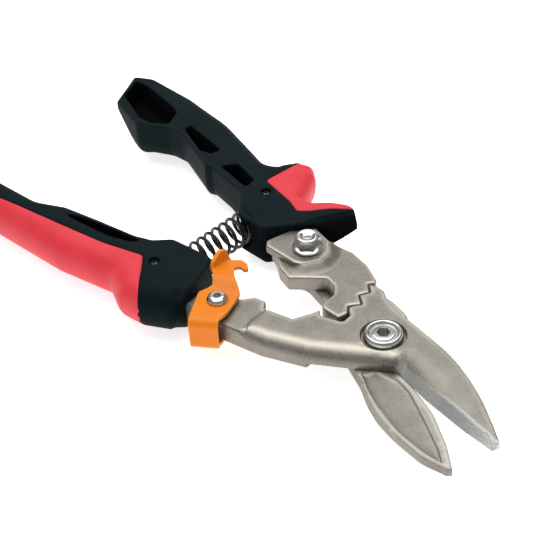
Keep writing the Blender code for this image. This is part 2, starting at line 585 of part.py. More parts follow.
def main():
    clear_scene()
    parts = new_collection("aviation_snips")
    tools = new_collection("cutters")
    steel = new_material("satin_steel", (0.47, 0.44, 0.40), 0.42, 1.0)
    chrome = new_material("chrome", (0.78, 0.78, 0.78), 0.12, 1.0)
    bronze = new_material("bronze", (0.55, 0.38, 0.20), 0.35, 1.0)
    orange = new_material("orange_paint", (0.90, 0.22, 0.02), 0.35, 0.0)
    black = new_material("black_plastic", (0.016, 0.030, 0.034), 0.55, 0.0)
    spring_black = new_material("black_spring_steel", (0.012, 0.012, 0.013), 0.25, 0.6)
    red = new_material("red_rubber", (0.80, 0.055, 0.075), 0.50, 0.0)
    make_fixed_blade(parts, tools, steel)
    make_moving_blade(parts, tools, steel)
    make_gear_lever(parts, tools, steel)
    make_main_pivot(parts, tools, chrome, bronze)
    make_lever_pivot(parts, tools, chrome)
    make_latch(parts, tools, orange)
    make_latch_screw(parts, tools, chrome)
    make_return_spring(parts, spring_black)
    make_spring_seats(parts, black)
    low, high = SPRING_Y
    lower_sockets = [(LOWER_TANG, *TANG_CORE_Z), (THICK_NECK, TANG_BACK_Z, FRONT_Z)]
    upper_sockets = [
        (UPPER_TANG, *TANG_CORE_Z), (LEVER_BODY, SHEAR_Z, FRONT_Z), (NOSE_PLATE, FRONT_Z, NOSE_Z),
    ]
    make_handle("lower", LOWER_HANDLE, LOWER_GRIP, lower_sockets, (low - 1.8, 0), LOWER_SCREW, [],
                parts, tools, black, red)
    make_handle("upper", UPPER_HANDLE, THUMB_GRIP, upper_sockets, (0, high + 1.8), UPPER_SCREW,
                UPPER_POCKETS, parts, tools, black, red)
    make_handle_screws(parts, tools, chrome)
    for piece in parts.objects:
        smooth(piece)


main()
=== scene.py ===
"""Looks of the aviation snips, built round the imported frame.

Every sculpted piece is a solid between two height fields over a plan outline. The steel's outlines
are sections of the CAD nodes, and the handles' outlines are stated here. Lengths are in millimetres
until a mesh is made. Z runs to the tool's front, and the blades meet at SHEAR_Z.
"""

import json
import math

import bmesh
import bpy
import numpy as np
from mathutils import Matrix, Vector
from mathutils.geometry import delaunay_2d_cdt
from mathutils.kdtree import KDTree


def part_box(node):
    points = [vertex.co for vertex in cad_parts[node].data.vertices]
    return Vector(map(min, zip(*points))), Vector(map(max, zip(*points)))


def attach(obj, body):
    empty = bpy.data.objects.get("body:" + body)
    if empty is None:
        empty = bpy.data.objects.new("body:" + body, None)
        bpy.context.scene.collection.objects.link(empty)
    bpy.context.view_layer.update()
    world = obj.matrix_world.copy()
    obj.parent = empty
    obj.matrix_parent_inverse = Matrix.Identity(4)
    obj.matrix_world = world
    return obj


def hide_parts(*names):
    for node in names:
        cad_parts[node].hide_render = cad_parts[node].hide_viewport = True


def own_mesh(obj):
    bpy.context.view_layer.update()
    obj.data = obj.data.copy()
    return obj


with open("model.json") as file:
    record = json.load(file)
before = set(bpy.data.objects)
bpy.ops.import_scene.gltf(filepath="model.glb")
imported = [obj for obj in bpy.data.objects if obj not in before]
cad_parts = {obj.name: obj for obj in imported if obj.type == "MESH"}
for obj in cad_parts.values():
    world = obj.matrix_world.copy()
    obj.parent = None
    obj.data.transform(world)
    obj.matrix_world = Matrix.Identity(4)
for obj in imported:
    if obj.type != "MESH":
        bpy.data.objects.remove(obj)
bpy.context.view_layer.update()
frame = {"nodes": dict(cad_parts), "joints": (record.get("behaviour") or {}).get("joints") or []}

MM = 0.001
CORNER = math.radians(29)  # a sharper turn than this stays a corner of an outline
SHARP = math.radians(38)  # and of a shaded surface


def low(node):
    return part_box(node)[0] / MM


def high(node):
    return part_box(node)[1] / MM


def middle(node):
    return 0.5 * (low(node) + high(node))


JOINTS = {joint["name"]: joint for joint in frame["joints"]}
MAIN = tuple(1000 * v for v in JOINTS["blade_pivot"]["pos_m"][:2])
LEVER = tuple(1000 * v for v in JOINTS["lever_pivot"]["pos_m"][:2])
LATCH = tuple(1000 * v for v in JOINTS["latch_pivot"]["pos_m"][:2])
HALF_GAP = 0.15  # half the gap between the blades
SHEAR_Z = high("moving_blade").z + HALF_GAP
FRONT_Z = high("fixed_blade").z
NOSE_Z = high("gear_lever").z
BACK_Z = low("moving_blade").z
HANDLE_Z0, HANDLE_Z1 = low("lower_grip").z, high("lower_grip").z
HANDLE_MID = 0.5 * (HANDLE_Z0 + HANDLE_Z1)


# ---------------------------------------------------------------- outlines

def fillet(corner, before, after, radius):
    """The arc that rounds one corner, kept shorter than the two sides that it joins."""
    corner, before, after = Vector(corner), Vector(before), Vector(after)
    side_a, side_b = before - corner, after - corner
    half = 0.5 * side_a.angle(side_b)
    reach = min(radius / math.tan(half), 0.48 * side_a.length, 0.48 * side_b.length)
    radius = reach * math.tan(half)
    centre = corner + (side_a.normalized() + side_b.normalized()).normalized() * radius / math.sin(half)
    start = corner + side_a.normalized() * reach - centre
    finish = corner + side_b.normalized() * reach - centre
    turn = start.angle_signed(finish)
    count = max(2, math.ceil(abs(turn) / math.radians(9)))
    return [tuple(centre + Matrix.Rotation(-turn * i / count, 2) @ start) for i in range(count + 1)]


def rounded(outline):
    """An outline's points, with each corner that states a radius turned into an arc."""
    points = []
    for i, point in enumerate(outline):
        if len(point) < 3:
            points.append(point)
            continue
        before, after = outline[i - 1][:2], outline[(i + 1) % len(outline)][:2]
        points.extend(fillet(point[:2], before, after, point[2]))
    return points


def outlined(corners, step):
    return resample(rounded(corners), step)


def resample(points, step, closed=True):
    """Straight sides cut into steps, with every corner kept."""
    points = np.asarray(points, float)
    ends = np.roll(points, -1, axis=0) if closed else points[1:]
    out = []
    for a, b in zip(points, ends):
        count = max(1, math.ceil(np.linalg.norm(b - a) / step))
        out.extend(a + (b - a) * i / count for i in range(count))
    if not closed:
        out.append(points[-1])
    return np.array(out)


def curved(points, step):
    """A closed polygon with its faceted arcs made smooth, through the same points."""
    points = np.asarray(points, float)
    points = points[np.linalg.norm(np.roll(points, -1, axis=0) - points, axis=1) > 0.04]
    sides = np.roll(points, -1, axis=0) - points
    lengths = np.linalg.norm(sides, axis=1)
    units = sides / lengths[:, None]
    count = len(points)
    out = []

    def tangent(i, side):
        """Direction at point i for the side before it (-1) or after it (0)."""
        before, after = units[i - 1], units[i]
        cosine = float(np.clip(before @ after, -1, 1))
        if math.acos(cosine) > CORNER:
            return units[(i + side) % count]
        one, two = lengths[i - 1], lengths[i]
        if one > 2.5 * two:
            return before
        if two > 2.5 * one:
            return after
        blend = before * two / one + after * one / two
        return blend / np.linalg.norm(blend)

    for i in range(count):
        a, b = points[i], points[(i + 1) % count]
        ta, tb = tangent(i, 0) * lengths[i], tangent((i + 1) % count, -1) * lengths[i]
        pieces = max(1, math.ceil(lengths[i] / step))
        for k in range(pieces):
            t = k / pieces
            out.append((2 * t**3 - 3 * t**2 + 1) * a + (t**3 - 2 * t**2 + t) * ta
                       + (3 * t**2 - 2 * t**3) * b + (t**3 - t**2) * tb)
    return np.array(out)


def section(node, z):
    """The smooth outlines of a CAD node, cut at a height: the outer one first, then the holes."""
    bm = bmesh.new()
    bm.from_mesh(frame["nodes"][node].data)
    bmesh.ops.remove_doubles(bm, verts=bm.verts, dist=1e-6)
    bmesh.ops.bisect_plane(bm, geom=bm.verts[:] + bm.edges[:] + bm.faces[:], plane_co=(0, 0, z * MM),
                           plane_no=(0, 0, 1), clear_inner=True, clear_outer=True)
    bmesh.ops.remove_doubles(bm, verts=bm.verts, dist=2e-6)
    loops, seen = [], set()
    for start in bm.verts[:]:
        if start in seen:
            continue
        vert = start
        loop, edge = [start], vert.link_edges[0]
        while True:
            vert = edge.other_vert(vert)
            if vert is start:
                break
            loop.append(vert)
            seen.add(vert)
            edge = next(e for e in vert.link_edges if e is not edge)
        loops.append(np.array([(v.co.x, v.co.y) for v in loop]) / MM)
    bm.free()
    loops.sort(key=lambda loop: -abs(area(loop)))
    result = []
    for i, loop in enumerate(loops):
        loop = simplified(loop)
        if (area(loop) < 0) == (i == 0):
            loop = loop[::-1]
        result.append(curved(loop, 0.8))
    return result


def area(loop):
    after = np.roll(loop, -1, axis=0)
    return 0.5 * float(np.sum(loop[:, 0] * after[:, 1] - after[:, 0] * loop[:, 1]))


def simplified(loop):
    """A loop without the points that lie on a straight side."""
    keep = []
    for i, here in enumerate(loop):
        before, after = loop[i - 1], loop[(i + 1) % len(loop)]
        one, two = here - before, after - here
        turn = abs(one[0] * two[1] - one[1] * two[0]) / (np.linalg.norm(one) * np.linalg.norm(two) + 1e-12)
        if turn > 0.01:
            keep.append(here)
    return np.array(keep)


def arc(centre, radius, start, finish, count):
    """Points of an arc, with its angles in degrees."""
    angles = np.radians(np.linspace(start, finish, count))
    return np.column_stack([centre[0] + radius * np.cos(angles), centre[1] + radius * np.sin(angles)])


def along(points, xs):
    """Heights of a polyline of x and value at the given xs."""
    xp, yp = zip(*points)
    return np.interp(xs, xp, yp)


# ---------------------------------------------------------------- distances and height fields

class Region:
    """A plan region, which tells how deep inside it a point lies (negative outside)."""

    def __init__(self, loops):
        self.loops = [np.asarray(loop, float)[:, :2] for loop in loops]
        self.a = np.vstack(self.loops)
        self.b = np.vstack([np.roll(loop, -1, axis=0) for loop in self.loops])

    def at(self, x, y):
        return self.depth(np.column_stack([x, y]))

    def depth(self, points):
        """Distance to the nearest side, with a sign that comes from counting the sides on the right."""
        out = np.empty(len(points))
        run = self.b - self.a
        square = np.maximum((run**2).sum(1), 1e-12)
        for i in range(0, len(points), 1500):
            p = points[i:i + 1500, None, :]
            t = np.clip(((p - self.a) * run).sum(2) / square, 0, 1)
            gap = p - (self.a + t[..., None] * run)
            near = np.sqrt((gap**2).sum(2).min(1))
            above = self.a[:, 1] > p[..., 1]
            crosses = above != (self.b[:, 1] > p[..., 1])
            rise = np.where(run[:, 1] == 0, 1e-12, run[:, 1])
            x = self.a[:, 0] + (p[..., 1] - self.a[:, 1]) * run[:, 0] / rise
            inside = (crosses & (p[..., 0] < x)).sum(1) % 2 == 1
            out[i:i + 1500] = np.where(inside, near, -near)
        return out


def round_drop(depth, radius, height=None):
    """How far a surface with a rounded edge has dropped, at a depth inside that edge."""
    t = np.clip(1 - depth / radius, 0, 1)
    return (radius if height is None else height) * (1 - np.sqrt(1 - t * t))


def ramp(value, low_end, high_end):
    """A smooth step from 0 to 1."""
    t = np.clip((value - low_end) / (high_end - low_end), 0, 1)
    return t * t * (3 - 2 * t)


def bell(value, centre, width):
    """1 at the centre, and fading away on both sides of it."""
    return np.exp(-((value - centre) / width)**2)


def recess(depth, deep, wall, lip):
    """A sunk area's drop, with a steep wall and a rounded lip round it."""
    lip_drop = round_drop(-depth, lip)
    return np.where(depth < 0, lip_drop, lip + (deep - lip) * ramp(depth, 0, wall))


def rings_for(radius, count):
    """Distances from an edge at equal angles round its rounding."""
    return [radius * (1 - math.cos(math.radians(90) * k / count)) for k in range(1, count + 1)]


# ---------------------------------------------------------------- solids

def placed(name, data):
    """A new object in the scene."""
    made = bpy.data.objects.new(name, data)
    bpy.context.scene.collection.objects.link(made)
    return made


def shade(mesh):
    mesh.shade_smooth()
    mesh.set_sharp_from_angle(angle=SHARP)


def new_piece(name, mesh, material):
    mesh.name = name
    mesh.materials.clear()
    mesh.materials.append(material)
    shade(mesh)
    return placed(name, mesh)


def to_mesh(bm, name):
    mesh = bpy.data.meshes.new(name)
    bm.to_mesh(mesh)
    bm.free()
    return mesh


def evaluated_mesh(piece):
    graph = bpy.context.evaluated_depsgraph_get()
    return bpy.data.meshes.new_from_object(piece.evaluated_get(graph))


def places(mesh):
    """The vertices' places in millimetres."""
    co = np.empty(len(mesh.vertices) * 3)
    mesh.vertices.foreach_get("co", co)
    return co.reshape(-1, 3) / MM


def store(mesh, name, values):
    """Keep a value from 0 to 1 at every vertex."""
    layer = mesh.attributes.new(name, "FLOAT", "POINT")
    layer.data.foreach_set("value", np.clip(values, 0, 1).astype(np.float32))


def paint(piece, name, field):
    """Keep a value from 0 to 1 at every vertex, worked out from the vertices' places."""
    x, y, z = places(piece.data).T
    store(piece.data, name, field(x, y, z))


def shifted(line, distance, closed):
    """A polyline moved to its left side."""
    ahead = np.roll(line, -1, axis=0) - line
    behind = line - np.roll(line, 1, axis=0)
    if not closed:
        ahead[-1], behind[0] = behind[-1], ahead[0]
    ahead /= np.linalg.norm(ahead, axis=1)[:, None] + 1e-12
    behind /= np.linalg.norm(behind, axis=1)[:, None] + 1e-12
    normal = np.column_stack([-(ahead + behind)[:, 1], (ahead + behind)[:, 0]])
    normal /= np.linalg.norm(normal, axis=1)[:, None] + 1e-12
    spread = np.clip((normal * np.column_stack([-ahead[:, 1], ahead[:, 0]])).sum(1), 0.5, 1)
    return line + normal * (distance / spread)[:, None]


class Plan:
    """Triangles over an outline, dense along its edges and along the lines of its features."""

    def __init__(self, loops, rings, pitch, lines=()):
        self.region = Region(loops)
        self.points, self.edges = [], []
        for loop in loops:
            self.add_line(loop, True, None)
            for ring in rings:
                self.add_line(shifted(loop, ring, True), True, ring * 0.94 - 0.02)
        for line, closed, offsets in lines:
            line = np.asarray(line, float)[:, :2]
            for offset in offsets:
                moved = line if offset == 0 else shifted(line, offset, closed)
                self.add_line(moved, closed, 0.06)
        self.add_grid(pitch)
        result = delaunay_2d_cdt([Vector(p) for p in self.points], self.edges, [], 0, 1e-5)
        self.xy = np.array([tuple(v) for v in result[0]])
        faces = np.array([f for f in result[2] if len(f) == 3])
        self.faces = faces[self.region.depth(self.xy[faces].mean(1)) > 0]
        self.depth = np.maximum(self.region.depth(self.xy), 0)
        self.depth[self.depth < 2e-3] = 0

    def add_line(self, line, closed, least):
        keep = np.ones(len(line), bool) if least is None else self.region.depth(line) > max(least, 0.03)
        base = len(self.points)
        numbers = np.cumsum(keep) - 1 + base
        self.points.extend(line[keep])
        count = len(line) if closed else len(line) - 1
        for i in range(count):
            j = (i + 1) % len(line)
            if keep[i] and keep[j]:
                self.edges.append((int(numbers[i]), int(numbers[j])))

    def add_grid(self, pitch):
        lo, hi = self.region.a.min(0), self.region.a.max(0)
        rows = np.arange(lo[1], hi[1], pitch * 0.866)
        columns = np.arange(lo[0], hi[0], pitch)
        grid = np.array([(x + (k % 2) * pitch / 2, y) for k, y in enumerate(rows) for x in columns])
        grid = grid[self.region.depth(grid) > 0.45 * pitch]
        tree = KDTree(len(self.points))
        for i, p in enumerate(self.points):
            tree.insert((p[0], p[1], 0), i)
        tree.balance()
        self.points.extend(p for p in grid if tree.find((p[0], p[1], 0))[2] > 0.6 * pitch)

    def solid(self, name, top, bottom, material, part=None):
        """A closed solid over the plan, or over the part of it where part says so."""
        faces = self.faces if part is None else self.faces[part(self.xy[self.faces].mean(1))]
        used = np.unique(faces)
        number = np.full(len(self.xy), -1)
        number[used] = np.arange(len(used))
        faces = number[faces]
        xy, depth = self.xy[used], self.depth[used]
        z1, z0 = top(xy[:, 0], xy[:, 1], depth), bottom(xy[:, 0], xy[:, 1], depth)
        z1 = np.maximum(z1, z0)
        verts = np.vstack([np.column_stack([xy, z1]), np.column_stack([xy, z0])])
        n = len(xy)
        front = [tuple(f) for f in faces.tolist()]
        back = [(c + n, b + n, a + n) for a, b, c in front]
        directed = {pair for a, b, c in front for pair in ((a, b), (b, c), (c, a))}
        walls = [(a, a + n, b + n, b) for a, b in directed if (b, a) not in directed]
        mesh = bpy.data.meshes.new(name)
        mesh.from_pydata((verts * MM).tolist(), [], front + back + walls)
        clean(mesh)
        return new_piece(name, mesh, material)


def clean(mesh):
    bm = bmesh.new()
    bm.from_mesh(mesh)
    bmesh.ops.remove_doubles(bm, verts=bm.verts, dist=2e-6)
    bmesh.ops.dissolve_degenerate(bm, dist=1e-6, edges=bm.edges)
    loose = [v for v in bm.verts if not v.link_faces]
    bmesh.ops.delete(bm, geom=loose, context="VERTS")
    bm.to_mesh(mesh)
    bm.free()


def lathe(name, profile, centre, material, steps=96):
    """A profile of radius and height, top to bottom, turned about a vertical axis."""
    bm = bmesh.new()
    verts = [bm.verts.new((r * MM, 0, z * MM)) for r, z in profile]
    edges = [bm.edges.new(pair) for pair in zip(verts, verts[1:])]
    bmesh.ops.spin(bm, geom=verts + edges, cent=(0, 0, 0), axis=(0, 0, 1), angle=2 * math.pi, steps=steps)
    bmesh.ops.remove_doubles(bm, verts=bm.verts, dist=2e-6)
    bmesh.ops.recalc_face_normals(bm, faces=bm.faces)
    bmesh.ops.translate(bm, verts=bm.verts, vec=(centre[0] * MM, centre[1] * MM, 0))
    return new_piece(name, to_mesh(bm, name), material)


def softened(profile, radius):
    """A turned profile with its inner corners rounded."""
    out = [profile[0]]
    for before, here, after in zip(profile, profile[1:], profile[2:]):
        one, two = np.subtract(before, here), np.subtract(after, here)
        a, b = np.linalg.norm(one), np.linalg.norm(two)
        if a < 1e-6 or b < 1e-6:
            continue
        reach = min(radius, 0.45 * a, 0.45 * b)
        start, end = np.add(here, one / a * reach), np.add(here, two / b * reach)
        for k in range(4):
            t = k / 3
            out.append(tuple((1 - t)**2 * start + 2 * t * (1 - t) * np.array(here) + t * t * end))
    out.append(profile[-1])
    return out


def hex_prism(name, centre, flats, z0, z1, turn=0.0):
    bm = bmesh.new()
    radius = 0.5 * flats / math.cos(math.radians(30)) * MM
    spot = Matrix.Translation((centre[0] * MM, centre[1] * MM, 0.5 * (z0 + z1) * MM))
    bmesh.ops.create_cone(bm, cap_ends=True, segments=6, radius1=radius, radius2=radius, depth=(z1 - z0) * MM,
                          matrix=spot @ Matrix.Rotation(turn, 4, "Z"))
    return placed(name, to_mesh(bm, name))


def combine(piece, tool, operation):
    """Apply a Boolean and remove its tool."""
    modifier = piece.modifiers.new("combine", "BOOLEAN")
    modifier.operation = operation
    modifier.solver = "EXACT"
    modifier.object = tool
    mesh = evaluated_mesh(piece)
    piece.modifiers.clear()
    piece.data = mesh
    clean(mesh)
    shade(mesh)
    bpy.data.objects.remove(tool, do_unlink=True)


def finish_piece(piece, body, slot, *nodes):
    """Say which body a piece rides on, and hide the CAD nodes that it stands for. The slot argument is not
    used.
    """
    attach(piece, body)
    if nodes:
        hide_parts(*nodes)


# ---------------------------------------------------------------- materials

class Look:
    """A material's nodes, added one value at a time."""

    def __init__(self, name, colour, roughness, metallic=0.0, **sockets):
        self.material = bpy.data.materials.new(name)
        self.material.use_nodes = True
        self.tree = self.material.node_tree
        self.shader = self.tree.nodes["Principled BSDF"]
        self.shader.inputs["Base Color"].default_value = (*colour, 1.0)
        self.shader.inputs["Roughness"].default_value = roughness
        self.shader.inputs["Metallic"].default_value = metallic
        for socket, value in sockets.items():
            self.shader.inputs[socket.replace("_", " ")].default_value = value

    def colour(self, value):
        self.tree.links.new(value, self.shader.inputs["Base Color"])

    def roughness(self, value):
        self.tree.links.new(value, self.shader.inputs["Roughness"])

    def noise(self, size, detail=2.0, stretch=(1, 1, 1), turn=0.0):
        """A noise value whose grains are about size millimetres across."""
        coords = self.tree.nodes.new("ShaderNodeTexCoord")
        mapping = self.tree.nodes.new("ShaderNodeMapping")
        mapping.inputs["Scale"].default_value = stretch
        mapping.inputs["Rotation"].default_value = (0, 0, math.radians(turn))
        texture = self.tree.nodes.new("ShaderNodeTexNoise")
        texture.inputs["Scale"].default_value = 1000.0 / size
        texture.inputs["Detail"].default_value = detail
        self.tree.links.new(coords.outputs["Object"], mapping.inputs["Vector"])
        self.tree.links.new(mapping.outputs["Vector"], texture.inputs["Vector"])
        return texture.outputs["Fac"]

    def spread(self, value, low_in=0.3, high_in=0.7, low_out=0.0, high_out=1.0):
        """A value's middle range, spread over another range."""
        node = self.tree.nodes.new("ShaderNodeMapRange")
        limits = {"From Min": low_in, "From Max": high_in, "To Min": low_out, "To Max": high_out}
        for socket, number in limits.items():
            node.inputs[socket].default_value = number
        self.tree.links.new(value, node.inputs["Value"])
        return node.outputs["Result"]

    def scaled(self, value, low_out, high_out):
        return self.spread(value, 0, 1, low_out, high_out)

    def mixed(self, factor, one, two, kind="RGBA"):
        """Two colours, or two numbers where kind is FLOAT, mixed by a factor."""
        first, second, result = {"RGBA": (6, 7, 2), "FLOAT": (2, 3, 0)}[kind]
        node = self.tree.nodes.new("ShaderNodeMix")
        node.data_type = kind
        self.tree.links.new(factor, node.inputs["Factor"])
        for socket, value in ((node.inputs[first], one), (node.inputs[second], two)):
            if isinstance(value, bpy.types.NodeSocket):
                self.tree.links.new(value, socket)
            else:
                socket.default_value = (*value, 1.0) if kind == "RGBA" else value
        return node.outputs[result]

    def painted(self, name):
        """A value kept at the vertices."""
        node = self.tree.nodes.new("ShaderNodeAttribute")
        node.attribute_name = name
        return node.outputs["Fac"]

    def bump(self, height, depth_mm, strength, before=None):
        node = self.tree.nodes.new("ShaderNodeBump")
        node.inputs["Distance"].default_value = depth_mm * MM
        node.inputs["Strength"].default_value = strength
        self.tree.links.new(height, node.inputs["Height"])
        if before is not None:
            self.tree.links.new(before, node.inputs["Normal"])
        self.tree.links.new(node.outputs["Normal"], self.shader.inputs["Normal"])
        return node.outputs["Normal"]


def forged_steel():
    """Blasted and tumbled forging with grey ground faces, brighter edges that are partly wear and partly a
    painted highlight, and a painted highlight along the crest of the rolled band.
    """
    look = Look("forged_steel", (0.36, 0.33, 0.29), 0.45, 0.85)
    mottle = look.spread(look.noise(9.0, 4.0), 0.35, 0.65)
    cast = look.mixed(mottle, (0.155, 0.144, 0.124), (0.210, 0.196, 0.171))
    speck = look.spread(look.noise(0.7))
    cast = look.mixed(look.scaled(speck, 0, 0.5), cast, (0.36, 0.333, 0.295))
    # Edge wear and painted highlight: lighter colour along the edges and on the crest of the rolled band
    cast = look.mixed(look.scaled(look.painted("edge"), 0, 0.85), cast, (0.56, 0.52, 0.45))
    lines = look.spread(look.noise(0.5, 2.0, (0.08, 1.4, 1.4), 18))
    ground = look.mixed(lines, (0.44, 0.444, 0.430), (0.51, 0.514, 0.500))
    mask = look.painted("ground")
    look.colour(look.mixed(mask, cast, ground))
    rough = look.scaled(speck, 0.40, 0.54)
    look.roughness(look.mixed(mask, rough, look.scaled(lines, 0.30, 0.42), "FLOAT"))
    grain = look.bump(speck, 0.045, 0.65)
    look.bump(look.noise(4.5, 3.0), 0.12, 0.5, grain)
    return look.material


def chrome():
    look = Look("chrome", (0.80, 0.80, 0.80), 0.10, 1.0)
    smudge = look.noise(5.0, 3.0)
    look.roughness(look.spread(smudge, 0.35, 0.75, 0.10, 0.24))
    look.colour(look.mixed(look.spread(smudge), (0.44, 0.435, 0.42), (0.56, 0.56, 0.55)))
    look.bump(look.noise(1.1), 0.02, 0.35)
    return look.material


def orange_paint():
    look = Look("orange_paint", (0.93, 0.22, 0.01), 0.30, 0.0, Coat_Weight=0.08, Coat_Roughness=0.15,
                Specular_IOR_Level=0.2)
    base = look.mixed(look.spread(look.noise(14.0, 3.0)), (0.74, 0.185, 0.003), (0.82, 0.220, 0.004))
    # Painted highlight: lighter, yellower orange along the sheet's edges
    base = look.mixed(look.scaled(look.painted("edge"), 0, 0.5), base, (0.95, 0.36, 0.05))
    look.colour(base)
    peel = look.noise(1.6)
    look.roughness(look.spread(peel, 0.3, 0.7, 0.24, 0.36))
    look.bump(peel, 0.03, 0.4)
    return look.material


def black_plastic():
    """Dark blue-green moulded plastic with a fine grain, a painted sheen along its edges and painted shade in
    its pockets and under its thumb panel.
    """
    look = Look("black_plastic", (0.004, 0.009, 0.010), 0.5, Specular_IOR_Level=0.05)
    grain = look.noise(0.35)
    cloud = look.spread(look.noise(25.0, 3.0))
    base = look.mixed(cloud, (0.0024, 0.0074, 0.0086), (0.0040, 0.0110, 0.0126))
    # Painted sheen: lighter blue-grey along the rims of the faces
    base = look.mixed(look.scaled(look.painted("edge"), 0, 0.6), base, (0.020, 0.034, 0.038))
    # Painted shade: near-black in the pockets and on the wall under the thumb panel
    base = look.mixed(look.painted("painted_shade"), base, (0.0012, 0.0012, 0.0012))
    look.colour(base)
    rough = look.spread(grain, 0.3, 0.7, 0.50, 0.66)
    look.roughness(look.mixed(look.painted("painted_shade"), rough, 0.95, "FLOAT"))
    look.bump(grain, 0.03, 0.5)
    return look.material


def red_rubber():
    """Soft overmould with a fine sanded grain and a few darker specks."""
    look = Look("red_rubber", (0.72, 0.038, 0.052), 0.5, Specular_IOR_Level=0.25)
    grain = look.noise(0.45)
    base = look.mixed(look.spread(look.noise(18.0, 3.0)), (0.64, 0.030, 0.044), (0.72, 0.040, 0.056))
    specks = look.spread(look.noise(1.3), 0.70, 0.76)
    look.colour(look.mixed(look.scaled(specks, 0, 0.35), base, (0.50, 0.02, 0.03)))
    look.roughness(look.spread(grain, 0.3, 0.7, 0.42, 0.58))
    look.bump(grain, 0.035, 0.5)
    return look.material


def black_wire():
    look = Look("black_wire", (0.006, 0.006, 0.006), 0.3, Specular_IOR_Level=0.35)
    streak = look.spread(look.noise(1.2))
    look.colour(look.mixed(streak, (0.003, 0.003, 0.003), (0.009, 0.009, 0.009)))
    look.roughness(look.scaled(streak, 0.24, 0.38))
    return look.material


def bronze():
    look = Look("bronze", (0.55, 0.38, 0.20), 0.35, 1.0)
    turned = look.spread(look.noise(0.4, 2.0, (1, 1, 4)))
    look.colour(look.mixed(turned, (0.48, 0.32, 0.16), (0.60, 0.43, 0.24)))
    look.roughness(look.scaled(turned, 0.28, 0.45))
    return look.material


def dark_steel():
    """Oiled steel of the small screws."""
    look = Look("dark_steel", (0.06, 0.06, 0.06), 0.4, 0.8)
    look.colour(look.mixed(look.spread(look.noise(0.8)), (0.04, 0.038, 0.035), (0.13, 0.125, 0.12)))
    return look.material


STEEL, CHROME, ORANGE, BLACK, RED = forged_steel(), chrome(), orange_paint(), black_plastic(), red_rubber()
WIRE, BRONZE, DARK = black_wire(), bronze(), dark_steel()


# ---------------------------------------------------------------- cutting head

# Width and height of the front blade's ground bevel, and level of the blade's crest, along x
BEVEL_WIDTH = [(11, 2.2), (16, 2.6), (28, 3.5), (36, 3.8), (48, 3.9), (55, 3.6), (61, 2.8)]
BEVEL_TOP = [(11, 2.6), (20, 3.0), (28, 3.2), (36, 3.8), (43, 3.65), (48, 3.45), (55, 2.8), (61, 2.1)]
BLADE_TOP = [(-200, 6.3), (8, 6.3), (18.6, 5.7), (31, 4.7), (47.3, 3.8), (60.5, 2.5)]
# The neck's centre line, and the width of the rounded band on its lower side
NECK_LINE = [(-70, -26), (-46, -24), (-30, -20.5), (-15, -15), (0, -6), (15, 0), (40, -6), (60, -14)]
BAND = [(-70, 1.4), (-41.0, 1.4), (-37.0, 5.4), (-5, 6.0), (5, 5.6), (12, 3.2), (16, 1.3), (60, 1.3)]
SMALL_EDGE, BLADE_EDGE = 0.9, 1.3  # the rounding elsewhere: on the upper side, and on the blade
TANG_DROP = 0.55
TANG_STEP = [(-36.9, -33.0), (-38.1, -30.3), (-40.4, -26.4), (-41.0, -21.0), (-40.6, -16.0)]
THICK_NECK = [
    (-15.2, -17.5), (-30.4, -13.0), (-41.9, -12.4), (-52.5, -14.0), (-72.0, -14.0),
    (-72.0, -38.0), (-46.6, -36.0), (-15.2, -26.0),
]
HOLLOW = [
    (2.6, -15.2), (9.8, -20.0, 20), (17.0, -23.7, 20), (30.2, -28.8, 30), (42.0, -30.6, 30), (50.0, -30.7),
    (46.6, -27.2, 20), (37.3, -21.2, 30), (27.3, -15.0, 20), (21.5, -11.6, 8), (14.5, -9.4, 4), (5.5, -10.4),
]
HOLLOW_DEPTH = 0.85
# A line along the rear blade, and the width of the chamfer on its back side
BLADE_MIDDLE = [(0, -10), (15, -17), (30, -23), (54, -31.5)]
REAR_CHAMFER = [(2.0, 0.2), (8.0, 1.0), (44.0, 1.0), (50.0, 0.5), (54.0, 0.3)]
RECESS_R, RECESS_DEPTH = 8.1, 1.6  # the counterbore round the main bolt


def cutting_edge(outline, x_from, x_to):
    """The blade's lower side between two x, run on past the tip."""
    x, y = outline.T
    part = outline[(x > x_from) & (x < x_to) & (y < along(NECK_LINE, x))]
    part = part[np.argsort(part[:, 0])]
    return np.vstack([part, part[-1] + 1.5 * (part[-1] - part[-4])])


def open_distance(line, x, y):
    """Distance from points to an open polyline."""
    spots = np.column_stack([x, y])
    best = np.full(len(spots), 1e9)
    for a, b in zip(line, line[1:]):
        run = b - a
        t = np.clip(((spots - a) @ run) / max(run @ run, 1e-12), 0, 1)
        best = np.minimum(best, np.hypot(*(spots - a - t[:, None] * run).T))
    return best


